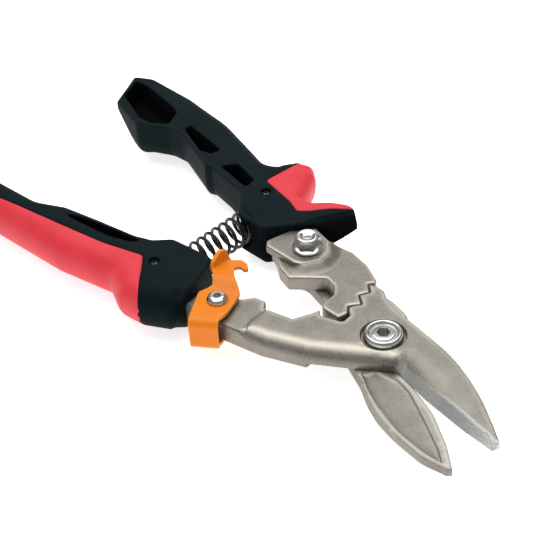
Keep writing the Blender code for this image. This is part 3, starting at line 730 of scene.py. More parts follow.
def make_front_forging():
    loops = section("fixed_blade", SHEAR_Z + 0.4)
    edge_line = cutting_edge(loops[0], 12.0, 58.0)
    ahead = np.gradient(edge_line, axis=0)
    left = np.column_stack([-ahead[:, 1], ahead[:, 0]]) / np.linalg.norm(ahead, axis=1)[:, None]
    ridge = edge_line + left * along(BEVEL_WIDTH, edge_line[:, 0])[:, None]
    recess_ring = arc(MAIN, RECESS_R, 0, 355, 72)
    thick = Region([resample(THICK_NECK, 1.0)])
    lines = [
        (ridge, False, (0, 0.25, 0.7, 1.3, 2.2)),
        (recess_ring, True, (-0.75, -0.5, -0.25, 0, 0.25)),
        (resample(TANG_STEP, 0.8, False), False, (-0.5, 0, 0.5)),
        (resample(THICK_NECK, 0.8), True, (0, 0.2)),
    ]
    plan = Plan(loops, rings_for(1.4, 4)[:3] + rings_for(5.5, 6), 1.1, lines)

    def top(x, y, depth):
        level = SHEAR_Z + along(BLADE_TOP, x)
        low_side = ramp(along(NECK_LINE, x) - y, -2.0, 1.0)
        band = SMALL_EDGE + (along(BAND, x) - SMALL_EDGE) * low_side
        band = band + (BLADE_EDGE - band) * ramp(x, 12, 17)
        z = level - round_drop(depth, band)
        past_step = x - along([(step_y, step_x) for step_x, step_y in TANG_STEP], y)
        z -= TANG_DROP * (1 - ramp(past_step, -0.5, 0.5))
        # The ground bevel, and a shoulder over it that fades into the blade's crest
        near = open_distance(edge_line, x, y)
        width, height = along(BEVEL_WIDTH, x), along(BEVEL_TOP, x)
        steep = SHEAR_Z + 0.2 + (height - 0.2) * near / width
        fade = 1 - np.clip((near - width) / 7.0, 0, 1)
        shoulder = SHEAR_Z + height + (level - SHEAR_Z - height) * (1 - fade**2)
        blade = np.where(near < width, steep, shoulder)
        z += (np.minimum(z, blade) - z) * ramp(x, 9.5, 14.5)
        z -= recess(RECESS_R - np.hypot(x - MAIN[0], y - MAIN[1]), RECESS_DEPTH, 0.25, 0.5)
        return z

    def bottom(x, y, depth):
        thick_share = ramp(thick.at(x, y), 0, 0.2)
        z = SHEAR_Z + HALF_GAP - (SHEAR_Z + HALF_GAP - low("fixed_blade").z) * thick_share
        return z + round_drop(depth, 0.8) * thick_share

    piece = plan.solid("front_forging", top, bottom, STEEL)

    def ground(x, y, z):
        near = open_distance(edge_line, x, y)
        return (x > 11.6) * ramp(along(BEVEL_WIDTH, x) - near, -0.05, 0.1)

    def edge(x, y, z):
        depth = plan.region.at(x, y)
        neck = along(NECK_LINE, x)
        band = along(BAND, x) * (y < neck)
        # Edge wear with a painted highlight along the upper side's rims
        rim = 0.6 * bell(depth, 0.9, 0.8) * (z > SHEAR_Z + 1.2) * (y > neck) * (1 - ramp(x, 50, 57))
        # Painted highlight along the crest of the rolled band
        crest_highlight = 0.8 * bell(depth, 0.75 * band, 0.25 * band + 0.3) * (band > 2)
        return np.maximum(rim, crest_highlight)

    paint(piece, "ground", ground)
    paint(piece, "edge", edge)
    finish_piece(piece, "lower_side", "satin_steel", "fixed_blade")


def make_rear_forging():
    face = high("moving_blade").z
    loops = section("moving_blade", BACK_Z + 3.5)
    x, y = loops[0].T
    belly = 1.3 * ramp(x, 3, 14) * (1 - ramp(x, 42, 52)) * (y < along(BLADE_MIDDLE, x))
    loops[0] = loops[0] + belly[:, None] * (-0.6, -0.8)
    hollow_loop = outlined(HOLLOW, 0.8)
    hollow = Region([hollow_loop])
    plan = Plan(loops, [0.12, 0.3, 0.6, 1.0], 1.2, [(hollow_loop, True, (-0.15, 0, 0.35, 0.9, 1.7))])

    def top(x, y, depth):
        z = face - round_drop(depth, 0.25)
        back_side = ramp(-0.62 * x - 12.5 - y, -1.5, 0) * (x > 0)
        chamfer = along(REAR_CHAMFER, x) * back_side
        z -= np.where(chamfer > 0.15, 3.6 * np.clip(1 - depth / np.maximum(chamfer, 0.01), 0, 1), 0)
        sunk = np.clip(hollow.at(x, y) / 2.6, 0, 1)
        return z - HOLLOW_DEPTH * np.sqrt(1 - (1 - sunk)**2)

    def bottom(x, y, depth):
        return BACK_Z + round_drop(depth, 0.8) + np.clip((x - 16) * 0.03, 0, 3)

    piece = plan.solid("rear_forging", top, bottom, STEEL)

    def ground(x, y, z):
        land = (x > 3.0) & (y < -6.5) & (z > face - 0.5) & (y > along(BLADE_MIDDLE, x))
        return 0.15 * land * ramp(-hollow.at(x, y), -0.3, 0.1)

    def edge(x, y, z):
        # Edge wear with a painted highlight, along the hollow's border and the upper rim of the outline
        rim = 0.4 * bell(hollow.at(x, y), 0.4, 0.5) * (x > 2)
        outside = 0.7 * bell(plan.region.at(x, y), 0.9, 0.4) * (z > BACK_Z + 3.5)
        return np.maximum(rim, outside)

    paint(piece, "ground", ground)
    paint(piece, "edge", edge)
    finish_piece(piece, "blade", "satin_steel", "moving_blade")


def make_gear_lever():
    loops = section("gear_lever", SHEAR_Z + 0.3)
    nose_loop = section("gear_lever", NOSE_Z - 0.5)[0]
    plan = Plan(loops, rings_for(0.9, 4), 1.0, [(nose_loop, True, (-4, -3, -2, -1.2, -0.6, 0, 0.4))])
    nose = Region([nose_loop])

    def top(x, y, depth):
        inside = nose.at(x, y)
        swell = ramp(inside, -4.5, 0.3) * ramp(x + 0.4 * y, -49, -42) - 0.2 * ramp(inside, 0.5, 1.5)
        return FRONT_Z + (NOSE_Z - FRONT_Z) * swell - round_drop(depth, 0.9, 0.7)

    def bottom(x, y, depth):
        return SHEAR_Z + HALF_GAP + round_drop(depth, 0.5)

    body = plan.solid("gear_lever_body", top, bottom, STEEL)
    plate_plan = Plan([nose_loop], rings_for(0.8, 4) + [1.6], 1.0)

    def plate_top(x, y, depth):
        return NOSE_Z - round_drop(depth, 0.8)

    def plate_bottom(x, y, depth):
        return FRONT_Z - 1.0 + round_drop(depth, 0.4)

    plate = plate_plan.solid("gear_lever_nose", plate_top, plate_bottom, STEEL)

    # Edge wear with a painted highlight along the rims of the body and the nose plate
    def edge(x, y, z):
        return bell(plan.region.at(x, y), 0.4, 0.45) * (z > FRONT_Z - 1.2)

    def plate_edge(x, y, z):
        return bell(nose.at(x, y), 0.4, 0.5) * (z > NOSE_Z - 1)

    paint(body, "edge", edge)
    paint(plate, "edge", plate_edge)
    finish_piece(plate, "upper_side", "satin_steel")
    finish_piece(body, "upper_side", "satin_steel", "gear_lever")


def make_main_pivot():
    top = FRONT_Z - RECESS_DEPTH + 0.3
    profile = [
        (0, top + 2.3), (3.9, top + 2.3), (4.35, top + 2.0), (4.6, top + 1.55), (4.95, top + 1.7),
        (5.3, top + 2.5), (5.9, top + 2.85), (6.5, top + 2.6), (7.0, top + 1.8), (7.2, top + 0.9),
        (7.2, top), (4.0, top), (4.0, 0.5), (3.5, 0.0), (0, 0.0),
    ]
    bolt = lathe("pivot_bolt", softened(profile, 0.35), MAIN, CHROME)
    combine(bolt, hex_prism("socket", MAIN, 4.4, top + 0.2, top + 5, math.radians(12)), "DIFFERENCE")
    finish_piece(bolt, "lower_side", "chrome", "main_pivot_bolt")


def make_flange_bolt():
    base = low("lever_pivot_bolt").z
    flange = NOSE_Z + 0.2
    top = high("lever_pivot_bolt").z
    shank = [
        (0, flange + 1.5), (4.0, flange + 1.5), (5.3, flange + 0.95), (5.8, flange + 0.55), (5.8, flange),
        (3.0, flange), (3.0, base + 0.5), (2.5, base), (0, base),
    ]
    bolt = lathe("flange_bolt", softened(shank, 0.3), LEVER, CHROME)
    head_profile = [
        (0, top - 1.0), (1.6, top - 0.9), (2.9, top - 0.15), (3.5, top), (4.0, top - 0.15), (5.6, top - 1.6),
        (5.6, flange + 0.9), (0, flange + 0.9),
    ]
    head = lathe("flange_bolt_head", softened(head_profile, 0.35), LEVER, CHROME)
    combine(head, hex_prism("hexagon", LEVER, 8.6, flange, top + 1, math.radians(8)), "INTERSECT")
    bevel = head.modifiers.new("edges", "BEVEL")
    bevel.width = 0.22 * MM
    bevel.segments = 3
    bevel.limit_method = "ANGLE"
    bevel.angle_limit = math.radians(32)
    finish_piece(head, "blade", "chrome")
    finish_piece(bolt, "blade", "chrome", "lever_pivot_bolt")


def make_latch_screw():
    base, top = low("latch_screw").z, high("latch_screw").z
    head = top - 2.0
    profile = [
        (0, top), (1.9, top), (2.5, top - 0.12), (3.3, top - 0.6), (3.8, top - 1.3), (3.9, head + 0.3),
        (3.9, head), (2.0, head), (2.0, base + 0.3), (1.6, base), (0, base),
    ]
    screw = lathe("latch_socket_screw", softened(profile, 0.25), LATCH, CHROME)
    combine(screw, hex_prism("socket", LATCH, 2.5, head + 0.5, top + 1, math.radians(20)), "DIFFERENCE")
    finish_piece(screw, "lower_side", "chrome", "latch_screw")


def make_nut(node, centre, flats, bore, body, turn):
    """A hexagon nut with chamfered corners and a chamfered mouth."""
    z0, z1 = low(node).z, high(node).z
    corner = 0.5 * flats / math.cos(math.radians(30))
    cone = (corner - 0.5 * flats) * 0.6
    upper_half = [(bore, z1 - 0.3), (bore + 0.35, z1), (0.5 * flats - 0.1, z1), (corner + 0.02, z1 - cone)]
    lower_half = [(corner + 0.02, z0 + cone), (0.5 * flats - 0.1, z0), (bore + 0.35, z0), (bore, z0 + 0.3)]
    profile = upper_half + lower_half + upper_half[:1]
    nut = lathe(f"{node}_chamfered", profile, centre, CHROME)
    combine(nut, hex_prism("hexagon", centre, flats, z0 - 1, z1 + 1, turn), "INTERSECT")
    finish_piece(nut, body, "chrome", node)


def make_washer(node, centre, inner, body):
    z0, z1 = low(node).z, high(node).z
    outer = 0.5 * (high(node).x - low(node).x)
    profile = [(inner, z1), (outer, z1), (outer, z0), (inner, z0), (inner, z1)]
    washer = lathe(f"{node}_rolled", softened(profile, 0.2), centre, CHROME)
    finish_piece(washer, body, "chrome", node)


# ---------------------------------------------------------------- latch

SHEET = 1.7
BEND = 2.2  # bend radius of the sheet's middle
BEND_LENGTH = BEND * math.pi / 2
PLATE_MID = FRONT_Z + 0.7 + 0.5 * SHEET
ARM_RISE = 2.2  # the arm's height over the plate
LATCH_BORE = 2.3
REAR_MID = low("fixed_blade").z - 0.8 - 0.5 * SHEET
WALL_LINE = (-52.5, -36.35)  # a point of the fold between plate and wall
WALL_ALONG = (0.829, 0.559)
WALL_OUT = (0.559, -0.829)
TAB_FOOT = ((-66.4, -18.0), (-66.2, -8.0))  # fold between arm and thumb tab
TAB_SHAPE = [(10.0, 2.6), (9.2, 6.0, 0.9), (6.4, 7.6, 1.4), (2.0, 4.6, 3.0)]  # along the fold, and out
LATCH_RIGHT = [
    (-48.15, -33.4), (-48.4, -28.9, 4), (-50.0, -24.0, 4), (-52.2, -18.2, 3), (-58.9, -14.2, 3),
    (-62.7, -11.0, 1.5), (-61.2, -8.9, 1.3), (-58.7, -9.4, 0.5), (-57.8, -8.1, 0.7), (-60.2, -6.1, 2),
    (-63.6, -5.7, 2), (-66.2, -8.0),
]
LATCH_LEFT = [
    (-66.4, -18.0), (-63.0, -21.8, 1.5), (-63.9, -24.8, 2), (-64.6, -27.4, 2), (-57.2, -39.5),
]
LATCH_BEHIND = [(-62.4, -29.5, 3), (-62.2, -24.5, 3), (-58.5, -19.2, 3), (-51.4, -20.6, 3)]


def fold(points, foot, across, angle, radius):
    """Bend a sheet about a fold line. Points are x, y in the flat and a height from the sheet's middle.

    foot is a point of the fold line and across points to the side that turns. A positive angle folds up.
    """
    across = across / np.linalg.norm(across)
    reach = (points[:, :2] - foot) @ across
    out = points.copy()
    length = abs(angle) * radius
    turn = np.clip(reach, 0, length) / radius
    rest = np.clip(reach - length, 0, None)
    side = math.copysign(1.0, angle)
    height = points[:, 2] * side
    new_reach = (radius - height) * np.sin(turn) + rest * np.cos(turn)
    new_height = side * (radius - (radius - height) * np.cos(turn) + rest * np.sin(turn))
    bent = reach > 0
    out[bent, :2] += ((new_reach - reach)[:, None] * across)[bent]
    out[bent, 2] = new_height[bent]
    return out


# ---------------------------------------------------------------- return spring

def make_spring():
    """Wound coil with its end turns closed up."""
    lo, hi = low("return_spring"), high("return_spring")
    centre = 0.5 * (lo + hi)
    wire = 0.65
    radius = 0.5 * (hi.x - lo.x) - wire + 0.35
    length = hi.y - lo.y - 2 * wire
    turns, closed = 11.5, 1.1  # in all, and closed up at each end
    steps = 44
    count = int(turns * steps)
    curve = bpy.data.curves.new("coil_path", "CURVE")
    curve.dimensions = "3D"
    curve.bevel_depth = wire * MM
    curve.bevel_resolution = 4
    curve.use_fill_caps = True
    spline = curve.splines.new("POLY")
    spline.points.add(count)
    end_pitch = 1.35
    body_pitch = (length - 2 * closed * end_pitch) / (turns - 2 * closed)
    for i, point in enumerate(spline.points):
        turn = i / steps
        lead = min(turn, closed) * end_pitch + np.clip(turn - closed, 0, turns - 2 * closed) * body_pitch
        lead += max(turn - turns + closed, 0) * end_pitch
        angle = 2 * math.pi * turn + math.radians(200)
        y = lo.y + wire + lead
        point.co = ((centre.x + radius * math.cos(angle)) * MM, y * MM,
                    (centre.z + radius * math.sin(angle)) * MM, 1)
    guide = placed("coil_guide", curve)
    bpy.context.view_layer.update()
    mesh = evaluated_mesh(guide)
    bpy.data.objects.remove(guide, do_unlink=True)
    clean(mesh)
    coil = new_piece("spring_coil", mesh, WIRE)
    finish_piece(coil, "lower_side", "black_spring", "return_spring")
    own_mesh(coil)


def make_latch():
    """One bent sheet: plate, wall and rear plate round the tang, raised arm, beak and thumb tab."""
    ahead, out = np.array(WALL_ALONG), np.array(WALL_OUT)
    foot = np.array(WALL_LINE) @ out
    drop = PLATE_MID - REAR_MID
    wall_flat = drop - 2 * BEND
    rear_start = foot + 2 * BEND_LENGTH + wall_flat

    def unfolded(point):
        """Where a point of the rear plate lies while the sheet is still flat."""
        spot = np.array(point[:2], float)
        flat = ahead * (spot @ ahead) + out * (rear_start + foot - spot @ out)
        return (*flat, *point[2:])

    right, left = np.array(LATCH_RIGHT[0][:2]), np.array(LATCH_LEFT[-1][:2])
    tab_a, tab_b = np.array(TAB_FOOT[0]), np.array(TAB_FOOT[1])
    tab_along = (tab_b - tab_a) / np.linalg.norm(tab_b - tab_a)
    tab_out = np.array([-tab_along[1], tab_along[0]])
    tab = [(*(tab_a + tab_along * p[0] + tab_out * p[1]), *p[2:]) for p in TAB_SHAPE]
    narrow = 0.25
    behind = [unfolded((*(left + ahead * narrow), 0))[:2]] + [unfolded(p) for p in LATCH_BEHIND]
    behind.append(unfolded((*(right - ahead * narrow), 0))[:2])
    outline = outlined(LATCH_RIGHT + tab + LATCH_LEFT + behind, 0.6)
    hole = resample(arc(LATCH, LATCH_BORE, 355, 0, 28), 0.6)
    rear_hole = np.array([unfolded(p)[:2] for p in arc(LATCH, LATCH_BORE, 0, 355, 28)])
    fold_line = [tuple(np.array(WALL_LINE) + ahead * k) for k in (-14, 14)]
    plan = Plan([outline, hole, rear_hole], [0.07, 0.2, 0.35, 0.9], 0.55,
                [(resample(fold_line, 0.6, False), False, (0, -0.6, -1.2, -1.8, -2.4, -3.0, -3.5))])

    def top(x, y, depth):
        return 0.5 * SHEET - round_drop(depth, 0.35)

    def bottom(x, y, depth):
        return -0.5 * SHEET + round_drop(depth, 0.35)

    piece = plan.solid("bent_sheet_latch", top, bottom, ORANGE)
    mesh = piece.data
    flat = places(mesh)
    co = flat.copy()
    in_tab = ((co[:, :2] - tab_a) @ tab_out > 0) & (co[:, 0] < -60) & (co[:, 1] > -19)
    co[in_tab] = fold(co[in_tab], tab_a, tab_out, math.radians(84), BEND)
    in_wall = (flat[:, :2] @ out) > foot
    second_fold = np.array(WALL_LINE) + out * (BEND_LENGTH + wall_flat)
    co[in_wall] = fold(co[in_wall], second_fold, out, -math.pi / 2, BEND)
    co[in_wall] = fold(co[in_wall], WALL_LINE, out, -math.pi / 2, BEND)
    rise = ramp((flat[:, :2] - (-57.5, -20.6)) @ (-0.35, 0.94), -1.5, 5.0)
    co[:, 2] += PLATE_MID + ARM_RISE * np.where(in_wall, 0, rise)
    mesh.vertices.foreach_set("co", (co * MM).ravel())
    mesh.update()
    mesh.set_sharp_from_angle(angle=SHARP)
    # Painted highlight along the sheet's edges
    store(mesh, "edge", bell(plan.region.at(*flat[:, :2].T), 0, 0.3))
    finish_piece(piece, "latch", "orange_paint", "safety_latch")


# ---------------------------------------------------------------- handles

LOWER_HANDLE = [
    (-71.5, -12.4, 4.2), (-91.5, -14.0, 4.2), (-97.2, -19.6, 3), (-124.0, -23.2, 30), (-140.0, -25.8, 8),
    (-152.0, -31.2, 12), (-168.0, -31.6, 40), (-195.0, -32.0, 6), (-199.0, -38.5, 5), (-193.0, -46.8, 6),
    (-166.0, -46.5, 40), (-125.0, -45.6, 20), (-98.6, -41.4, 6), (-87.0, -47.4, 6), (-77.0, -46.6, 6),
    (-65.2, -40.6, 4.2), (-65.8, -29.0, 8),
]
LOWER_GRIP = [
    (-92.4, -28.9, 2.5), (-110.0, -33.4, 30), (-131.5, -36.2, 30), (-164.0, -40.2, 60), (-203.0, -42.6),
    (-203.0, -60.0), (-75.5, -60.0), (-77.0, -46.5), (-81.2, -41.4, 6), (-87.0, -34.6, 20),
]
LOWER_SLOT = [
    (-136.5, -31.0, 0.6), (-127.8, -27.6, 12), (-109.8, -24.6, 20), (-99.7, -23.2, 0.6), (-102.1, -26.2, 3),
    (-111.1, -29.2, 12), (-124.1, -30.3, 20),
]
UPPER_HANDLE = [
    (-70.0, 12.6, 3), (-55.8, 30.2, 5), (-48.0, 34.0, 6), (-45.9, 40.6, 4), (-53.5, 45.6, 6),
    (-61.5, 41.6, 6), (-67.0, 37.8, 4), (-72.4, 37.6, 1.5), (-75.6, 45.5, 5), (-79.2, 53.0, 4),
    (-84.5, 57.6, 3), (-91.5, 56.2, 4), (-98.6, 45.8, 8), (-110.7, 50.2, 15), (-134.2, 58.4, 40),
    (-159.8, 62.6, 30), (-184.5, 62.2, 3), (-192.6, 57.8, 2), (-182.8, 38.4, 3), (-163.0, 32.0, 4),
    (-150.0, 38.6, 5), (-141.5, 38.7, 8), (-118.0, 28.6, 2), (-115.0, 29.6, 1), (-94.8, 24.9, 1.5),
    (-91.6, 21.6, 2), (-84.2, 13.2, 3),
]
THUMB_GRIP = [
    (-90.6, 36.0, 2), (-74.0, 31.8, 2), (-67.4, 28.8, 2), (-63.8, 31.8, 3), (-58.3, 38.4, 6), (-52.0, 43.2),
    (-44.0, 46.5), (-44.0, 64.0), (-86.5, 64.0), (-89.0, 53.0, 8),
]
UPPER_POCKETS = [
    [(-188.4, 55.2, 1), (-183.8, 44.2, 1.5), (-165.5, 36.3, 1.5), (-158.5, 36.0, 1.5), (-151.8, 40.4, 1.5),
     (-155.8, 48.9, 1.5), (-160.6, 50.9, 2), (-182.0, 55.7, 2)],
    [(-143.2, 42.0, 0.8), (-143.8, 45.4, 1), (-120.4, 40.4, 1.5), (-122.0, 36.0, 1), (-126.9, 34.9, 1)],
    [(-112.2, 32.2, 0.8), (-108.0, 37.6, 1.2), (-95.4, 33.8, 1.5), (-94.0, 28.2, 1)],
]
UPPER_PANEL = [  # the raised flat round the thumb grip
    (-93.5, 38.7, 1), (-92.2, 23.4, 1.5), (-89.6, 19.2, 1.5), (-72.2, 12.2, 2), (-68.3, 13.4, 2),
    (-64.5, 17.8, 3), (-56.6, 33.4, 3), (-52.6, 39.8, 4), (-49.4, 46.0, 3), (-60.0, 64.0), (-93.0, 64.0),
]
# A point and the direction of each slope that cuts the upper handle from below: guard, then rear corner
UNDERSIDE_SLOPES = [((-47.6, 38.0, 16.0), (-0.68, 0.0, 0.73)), ((-163.0, 32.7, 5.5), (0.550, 0.634, 0.544))]
SCREWS = {side: middle(f"{side}_handle_screw") for side in ("lower", "upper")}
WELL_R = 2.1
HALF_THICKNESS = 9.5
SEAM = 0.04  # half the gap between the shells


def groove(grip, x, y):
    """Depth of the fine groove between a shell and its soft grip."""
    return 0.32 * bell(grip.at(x, y), 0, 0.28)


def screw_well(x, y, side):
    """Drop of the counterbore round a handle screw."""
    centre = SCREWS[side]
    return recess(WELL_R - np.hypot(x - centre.x, y - centre.y), 1.6, 0.15, 0.3)


def bored(piece, side):
    """Cut the round pocket that the spring sits in."""
    spring = middle("return_spring")
    seat = f"{side}_spring_seat"
    if side == "lower":
        y0, y1, radius, lean = low(seat).y - 0.4, 0.0, 6.8, 0.0
    else:
        y0, y1, radius, lean = 0.0, high(seat).y + 0.4, 8.0, -1.0  # the coil leans in this pocket
    profile = [(0, y1), (radius, y1), (radius, y0), (0, y0)]
    bore = lathe("bore", profile, (0, 0), BLACK, 48)
    bore.data.transform(Matrix.Rotation(math.radians(-90), 4, "X"))
    bore.data.transform(Matrix.Diagonal((1 - 0.15 * lean, 1, 1, 1)))
    bore.data.transform(Matrix.Translation(((spring.x + lean) * MM, 0, spring.z * MM)))
    combine(piece, bore, "DIFFERENCE")


def make_lower_handle():
    outline = outlined(LOWER_HANDLE, 1.0)
    border = outlined(LOWER_GRIP, 0.8)
    slot = outlined(LOWER_SLOT, 0.8)
    screw_ring = arc(SCREWS["lower"], WELL_R, 0, 350, 30)
    lines = [(border, True, (-0.4, -0.2, 0, 0.2, 0.4)), (slot, True, (-0.4, -0.15, 0, 0.3)),
             (screw_ring, True, (-0.3, -0.15, 0, 0.15))]
    plan = Plan([outline], rings_for(8.6, 9), 1.5, lines)
    grip, slot_region = Region([border]), Region([slot])

    def half_height(x, y, depth):
        """Rise over the parting plane: elliptical on the outer side, with crisp edges on the inner ones."""
        outer = ramp(along([(-200, -39), (-140, -37), (-98, -32), (-60, -35)], x) - y, -3, 4)
        inner = 4.2 - 2.4 * ramp(x, -106, -96)
        radius = inner + (8.6 - inner) * outer
        height = inner + (9.3 - inner) * outer
        taper = 0.5 * ramp(-x, 150, 198)
        return HALF_THICKNESS - taper - round_drop(depth, radius, height)

    def top(x, y, depth):
        z = HANDLE_MID + half_height(x, y, depth)
        z -= groove(grip, x, y)
        z -= recess(slot_region.at(x, y), 3.0, 0.3, 0.4)
        return z - screw_well(x, y, "lower")

    def bottom(x, y, depth):
        z = HANDLE_MID - half_height(x, y, depth)
        return z + groove(grip, x, y)

    build_handle("lower", plan, grip, [slot_region], top, bottom, "lower_grip", "lower_soft_grip")


def make_upper_handle():
    outline = outlined(UPPER_HANDLE, 1.0)
    border = outlined(THUMB_GRIP, 0.8)
    pockets = [outlined(pocket, 0.8) for pocket in UPPER_POCKETS]
    screw_ring = arc(SCREWS["upper"], WELL_R, 0, 350, 30)
    lines = [(border, True, (-0.4, -0.2, 0, 0.2, 0.4)), (screw_ring, True, (-0.3, -0.15, 0, 0.15))]
    lines += [(pocket, True, (-0.7, -0.35, 0, 0.3)) for pocket in pockets]
    panel_border = outlined(UPPER_PANEL, 0.8)
    lines.append((panel_border, True, (-0.1, 0.1, 0.3)))
    lines += [(slope_line(slope), False, (-0.3, 0, 0.3)) for slope in UNDERSIDE_SLOPES]
    plan = Plan([outline], rings_for(6.5, 8), 1.5, lines)
    grip, panel = Region([border]), Region([panel_border])
    holes = [Region([pocket]) for pocket in pockets]

    def half_height(x, y, depth):
        outer = ramp(y - along([(-195, 47), (-150, 46), (-118, 37), (-98, 34), (-60, 34)], x), -2, 4)
        outer = outer * ramp(-x, 60, 75) * ramp(x, -194, -150)
        radius = 1.4 + 4.4 * outer
        height = 1.4 + 3.8 * outer
        return HALF_THICKNESS - round_drop(depth, radius, height)

    def top(x, y, depth):
        in_panel = panel.at(x, y)
        z = HANDLE_MID + half_height(x, y, depth) - 0.5 * (1 - ramp(in_panel, -0.1, 0.2))
        z -= 0.9 * np.clip(-in_panel, 0, 6) * ramp(x, -63, -58)
        for hole in holes:
            z -= recess(hole.at(x, y), 8.6, 0.5, 0.7)
        z -= groove(grip, x, y)
        return np.maximum(z - screw_well(x, y, "upper"), HANDLE_MID + 0.05)

    def bottom(x, y, depth):
        z = HANDLE_MID - half_height(x, y, depth)
        for hole in holes:
            z += 0.25 * recess(hole.at(x, y), 3.0, 0.5, 0.7)
        arm = np.maximum(ramp(-x, 92, 104), ramp(y, 38, 44))
        z += round_drop(depth, 4.0 + 4.5 * arm, 2.5 + 5.0 * arm)
        return np.maximum(z + groove(grip, x, y), underside(x, y))

    build_handle("upper", plan, grip, holes, top, bottom, "upper_thumb_grip", "upper_soft_thumb_rest")


def underside(x, y):
    """Height of the slopes that cut the upper handle from below."""
    heights = [p[2] - (n[0] * (x - p[0]) + n[1] * (y - p[1])) / n[2] for p, n in UNDERSIDE_SLOPES]
    return np.maximum.reduce(heights)


def slope_line(slope):
    """Where a slope crosses the handle's parting plane."""
    point, normal = slope
    across = np.array(normal[:2]) / np.linalg.norm(normal[:2])
    reach = (point[2] - HANDLE_MID) * normal[2] / np.linalg.norm(normal[:2])
    middle_spot = np.array(point[:2]) + across * reach
    run = np.array([-across[1], across[0]]) * 40
    return resample([middle_spot - run, middle_spot + run], 1.0, False)


def build_handle(side, plan, grip, hollows, top, bottom, grip_node, grip_name):
    """Front and back shells that meet in a fine parting line, and the soft grip let into both."""
    def is_grip(spots):
        return grip.depth(spots) > 0

    def is_shell(spots):
        return grip.depth(spots) <= 0

    def is_back(spots):
        return is_shell(spots) & ((side == "lower") | (underside(*spots.T) < HANDLE_MID))

    def front_floor(x, y, depth):
        level = np.full(len(x), HANDLE_MID + SEAM)
        return np.maximum(level, underside(x, y)) if side == "upper" else level

    def back_ceiling(x, y, depth):
        return np.full(len(x), HANDLE_MID - SEAM)

    def edge(x, y, z):
        # Painted sheen along the rims of the front and back faces
        rim = 0.6 * bell(plan.region.at(x, y), 0.6, 0.6)
        return rim * (abs(z - HANDLE_MID) > 6)

    def painted_shade(x, y, z):
        # Painted shade: the pockets, and the wall under the thumb panel, go near-black
        shade = np.max([ramp(hole.at(x, y), -0.15, 0.1) for hole in hollows], axis=0)
        wall = ramp(-z, -21.4, -20.4) * ramp(x, -96, -93) * (y < 46) * (side == "upper")
        return np.maximum(shade, 0.8 * wall)

    front = plan.solid(f"{side}_front_cover", top, front_floor, BLACK, is_shell)
    back = plan.solid(f"{side}_back_cover", back_ceiling, bottom, BLACK, is_back)
    soft = plan.solid(grip_name, top, bottom, RED, is_grip)
    for piece in (front, back):
        bored(piece, side)
        paint(piece, "edge", edge)
        paint(piece, "painted_shade", painted_shade)
    body = f"{side}_side"
    finish_piece(front, body, "black_plastic", f"{side}_handle_front_shell")
    finish_piece(back, body, "black_plastic", f"{side}_handle_back_shell")
    finish_piece(soft, body, "red_rubber", grip_node)


def make_handle_screw(side):
    node = f"{side}_handle_screw"
    centre = SCREWS[side]
    z0, z1 = low(node).z, high(node).z
    profile = [(0, z1), (0.7, z1), (1.25, z1 - 0.25), (1.5, z1 - 0.7), (1.5, z0 + 0.3), (1.2, z0), (0, z0)]
    screw = lathe(f"{side}_shell_screw", profile, centre, DARK, 40)
    combine(screw, hex_prism("socket", centre, 1.3, z1 - 0.8, z1 + 1), "DIFFERENCE")
    finish_piece(screw, f"{side}_side", "chrome", node)


def make_seat(side):
    """Turned post with a domed end, which keeps the coil in its pocket."""
    node = f"{side}_spring_seat"
    lo, hi, centre = low(node), high(node), middle(node)
    radius = {"lower": 3.8, "upper": 2.5}[side]
    inner, outer = (hi.y, lo.y) if side == "lower" else (lo.y, hi.y)
    sign = 1 if inner > outer else -1
    height = abs(inner - outer)
    profile = [(0, height), (0.68 * radius, height), (radius, height - 1.4), (radius, 0), (0, 0)]
    seat = lathe(f"{side}_spring_post", softened(profile, 0.4), (0, 0), BLACK, 48)
    seat.data.transform(Matrix.Rotation(math.radians(-90 * sign), 4, "X"))
    seat.data.transform(Matrix.Translation((centre.x * MM, outer * MM, centre.z * MM)))
    finish_piece(seat, f"{side}_side", "black_plastic", node)


# ---------------------------------------------------------------- stage

def area_light(name, place, target, size, power):
    light = bpy.data.lights.new(name, "AREA")
    light.shape = "RECTANGLE"
    light.size, light.size_y = size
    light.energy = power
    lamp = placed(name, light)
    lamp.location = place
    direction = Vector(target) - Vector(place)
    lamp.rotation_euler = direction.to_track_quat("-Z", "Y").to_euler()


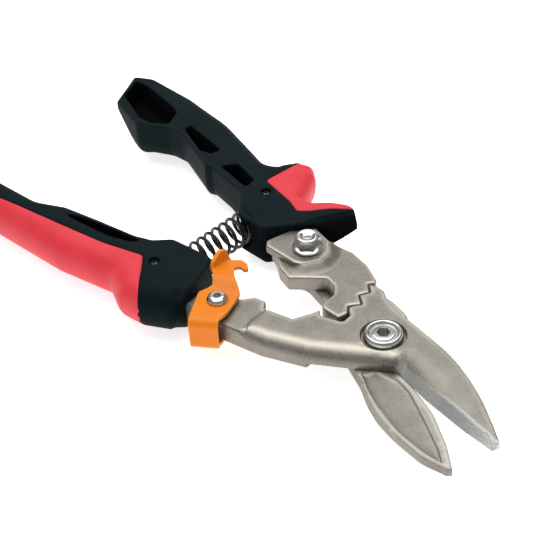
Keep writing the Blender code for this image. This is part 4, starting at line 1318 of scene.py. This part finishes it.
def make_stage():
    bm = bmesh.new()
    bmesh.ops.create_grid(bm, x_segments=1, y_segments=1, size=3.0)
    floor = placed("floor", to_mesh(bm, "floor"))
    floor.location.z = -0.0005
    look = Look("pale_floor", (0.93, 0.93, 0.93), 0.8, Emission_Color=(1, 1, 1, 1), Emission_Strength=0.75)
    look.colour(look.mixed(look.spread(look.noise(60.0)), (0.92, 0.92, 0.92), (0.94, 0.94, 0.94)))
    floor.data.materials.append(look.material)
    world = bpy.data.worlds.new("studio")
    world.use_nodes = True
    world.node_tree.nodes["Background"].inputs["Color"].default_value = (1, 1, 1, 1)
    world.node_tree.nodes["Background"].inputs["Strength"].default_value = 0.36
    bpy.context.scene.world = world
    bpy.context.scene.view_settings.view_transform = "Standard"
    area_light("overhead", (-0.25, 0.15, 1.1), (-0.05, 0, 0), (1.5, 1.3), 16.0)
    area_light("far_strip", (-0.75, 0.75, 0.55), (-0.05, 0, 0), (0.9, 0.25), 1.0)


def make_camera():
    """Looks down at the tool from its front right, rolled a little."""
    camera = bpy.data.cameras.new("camera")
    camera.sensor_width = 36.0
    camera.lens = 90.8
    eye = placed("camera", camera)
    rows = Matrix(((0.7293, -0.4045, 0.5518), (0.6830, 0.4785, -0.5518), (-0.0408, 0.7793, 0.6252)))
    eye.matrix_world = Matrix.Translation((0.2355, -0.2865, 0.3400)) @ rows.to_4x4()
    bpy.context.scene.camera = eye


make_stage()
make_camera()
make_front_forging()
make_rear_forging()
make_gear_lever()
make_main_pivot()
make_flange_bolt()
make_latch_screw()
make_nut("pivot_nut", MAIN, 13.0, 4.1, "lower_side", 0.0)
make_nut("lever_pivot_nut", LEVER, 9.0, 3.1, "blade", 0.0)
make_nut("latch_nut", LATCH, 6.0, 2.1, "lower_side", 0.0)
make_washer("pivot_washer", MAIN, 4.3, "lower_side")
make_washer("lever_pivot_washer", LEVER, 3.3, "blade")
make_latch()
make_spring()
make_lower_handle()
make_upper_handle()
for handle in ("lower", "upper"):
    make_handle_screw(handle)
    make_seat(handle)
frame["nodes"]["pivot_bush"].data.materials.clear()
frame["nodes"]["pivot_bush"].data.materials.append(BRONZE)
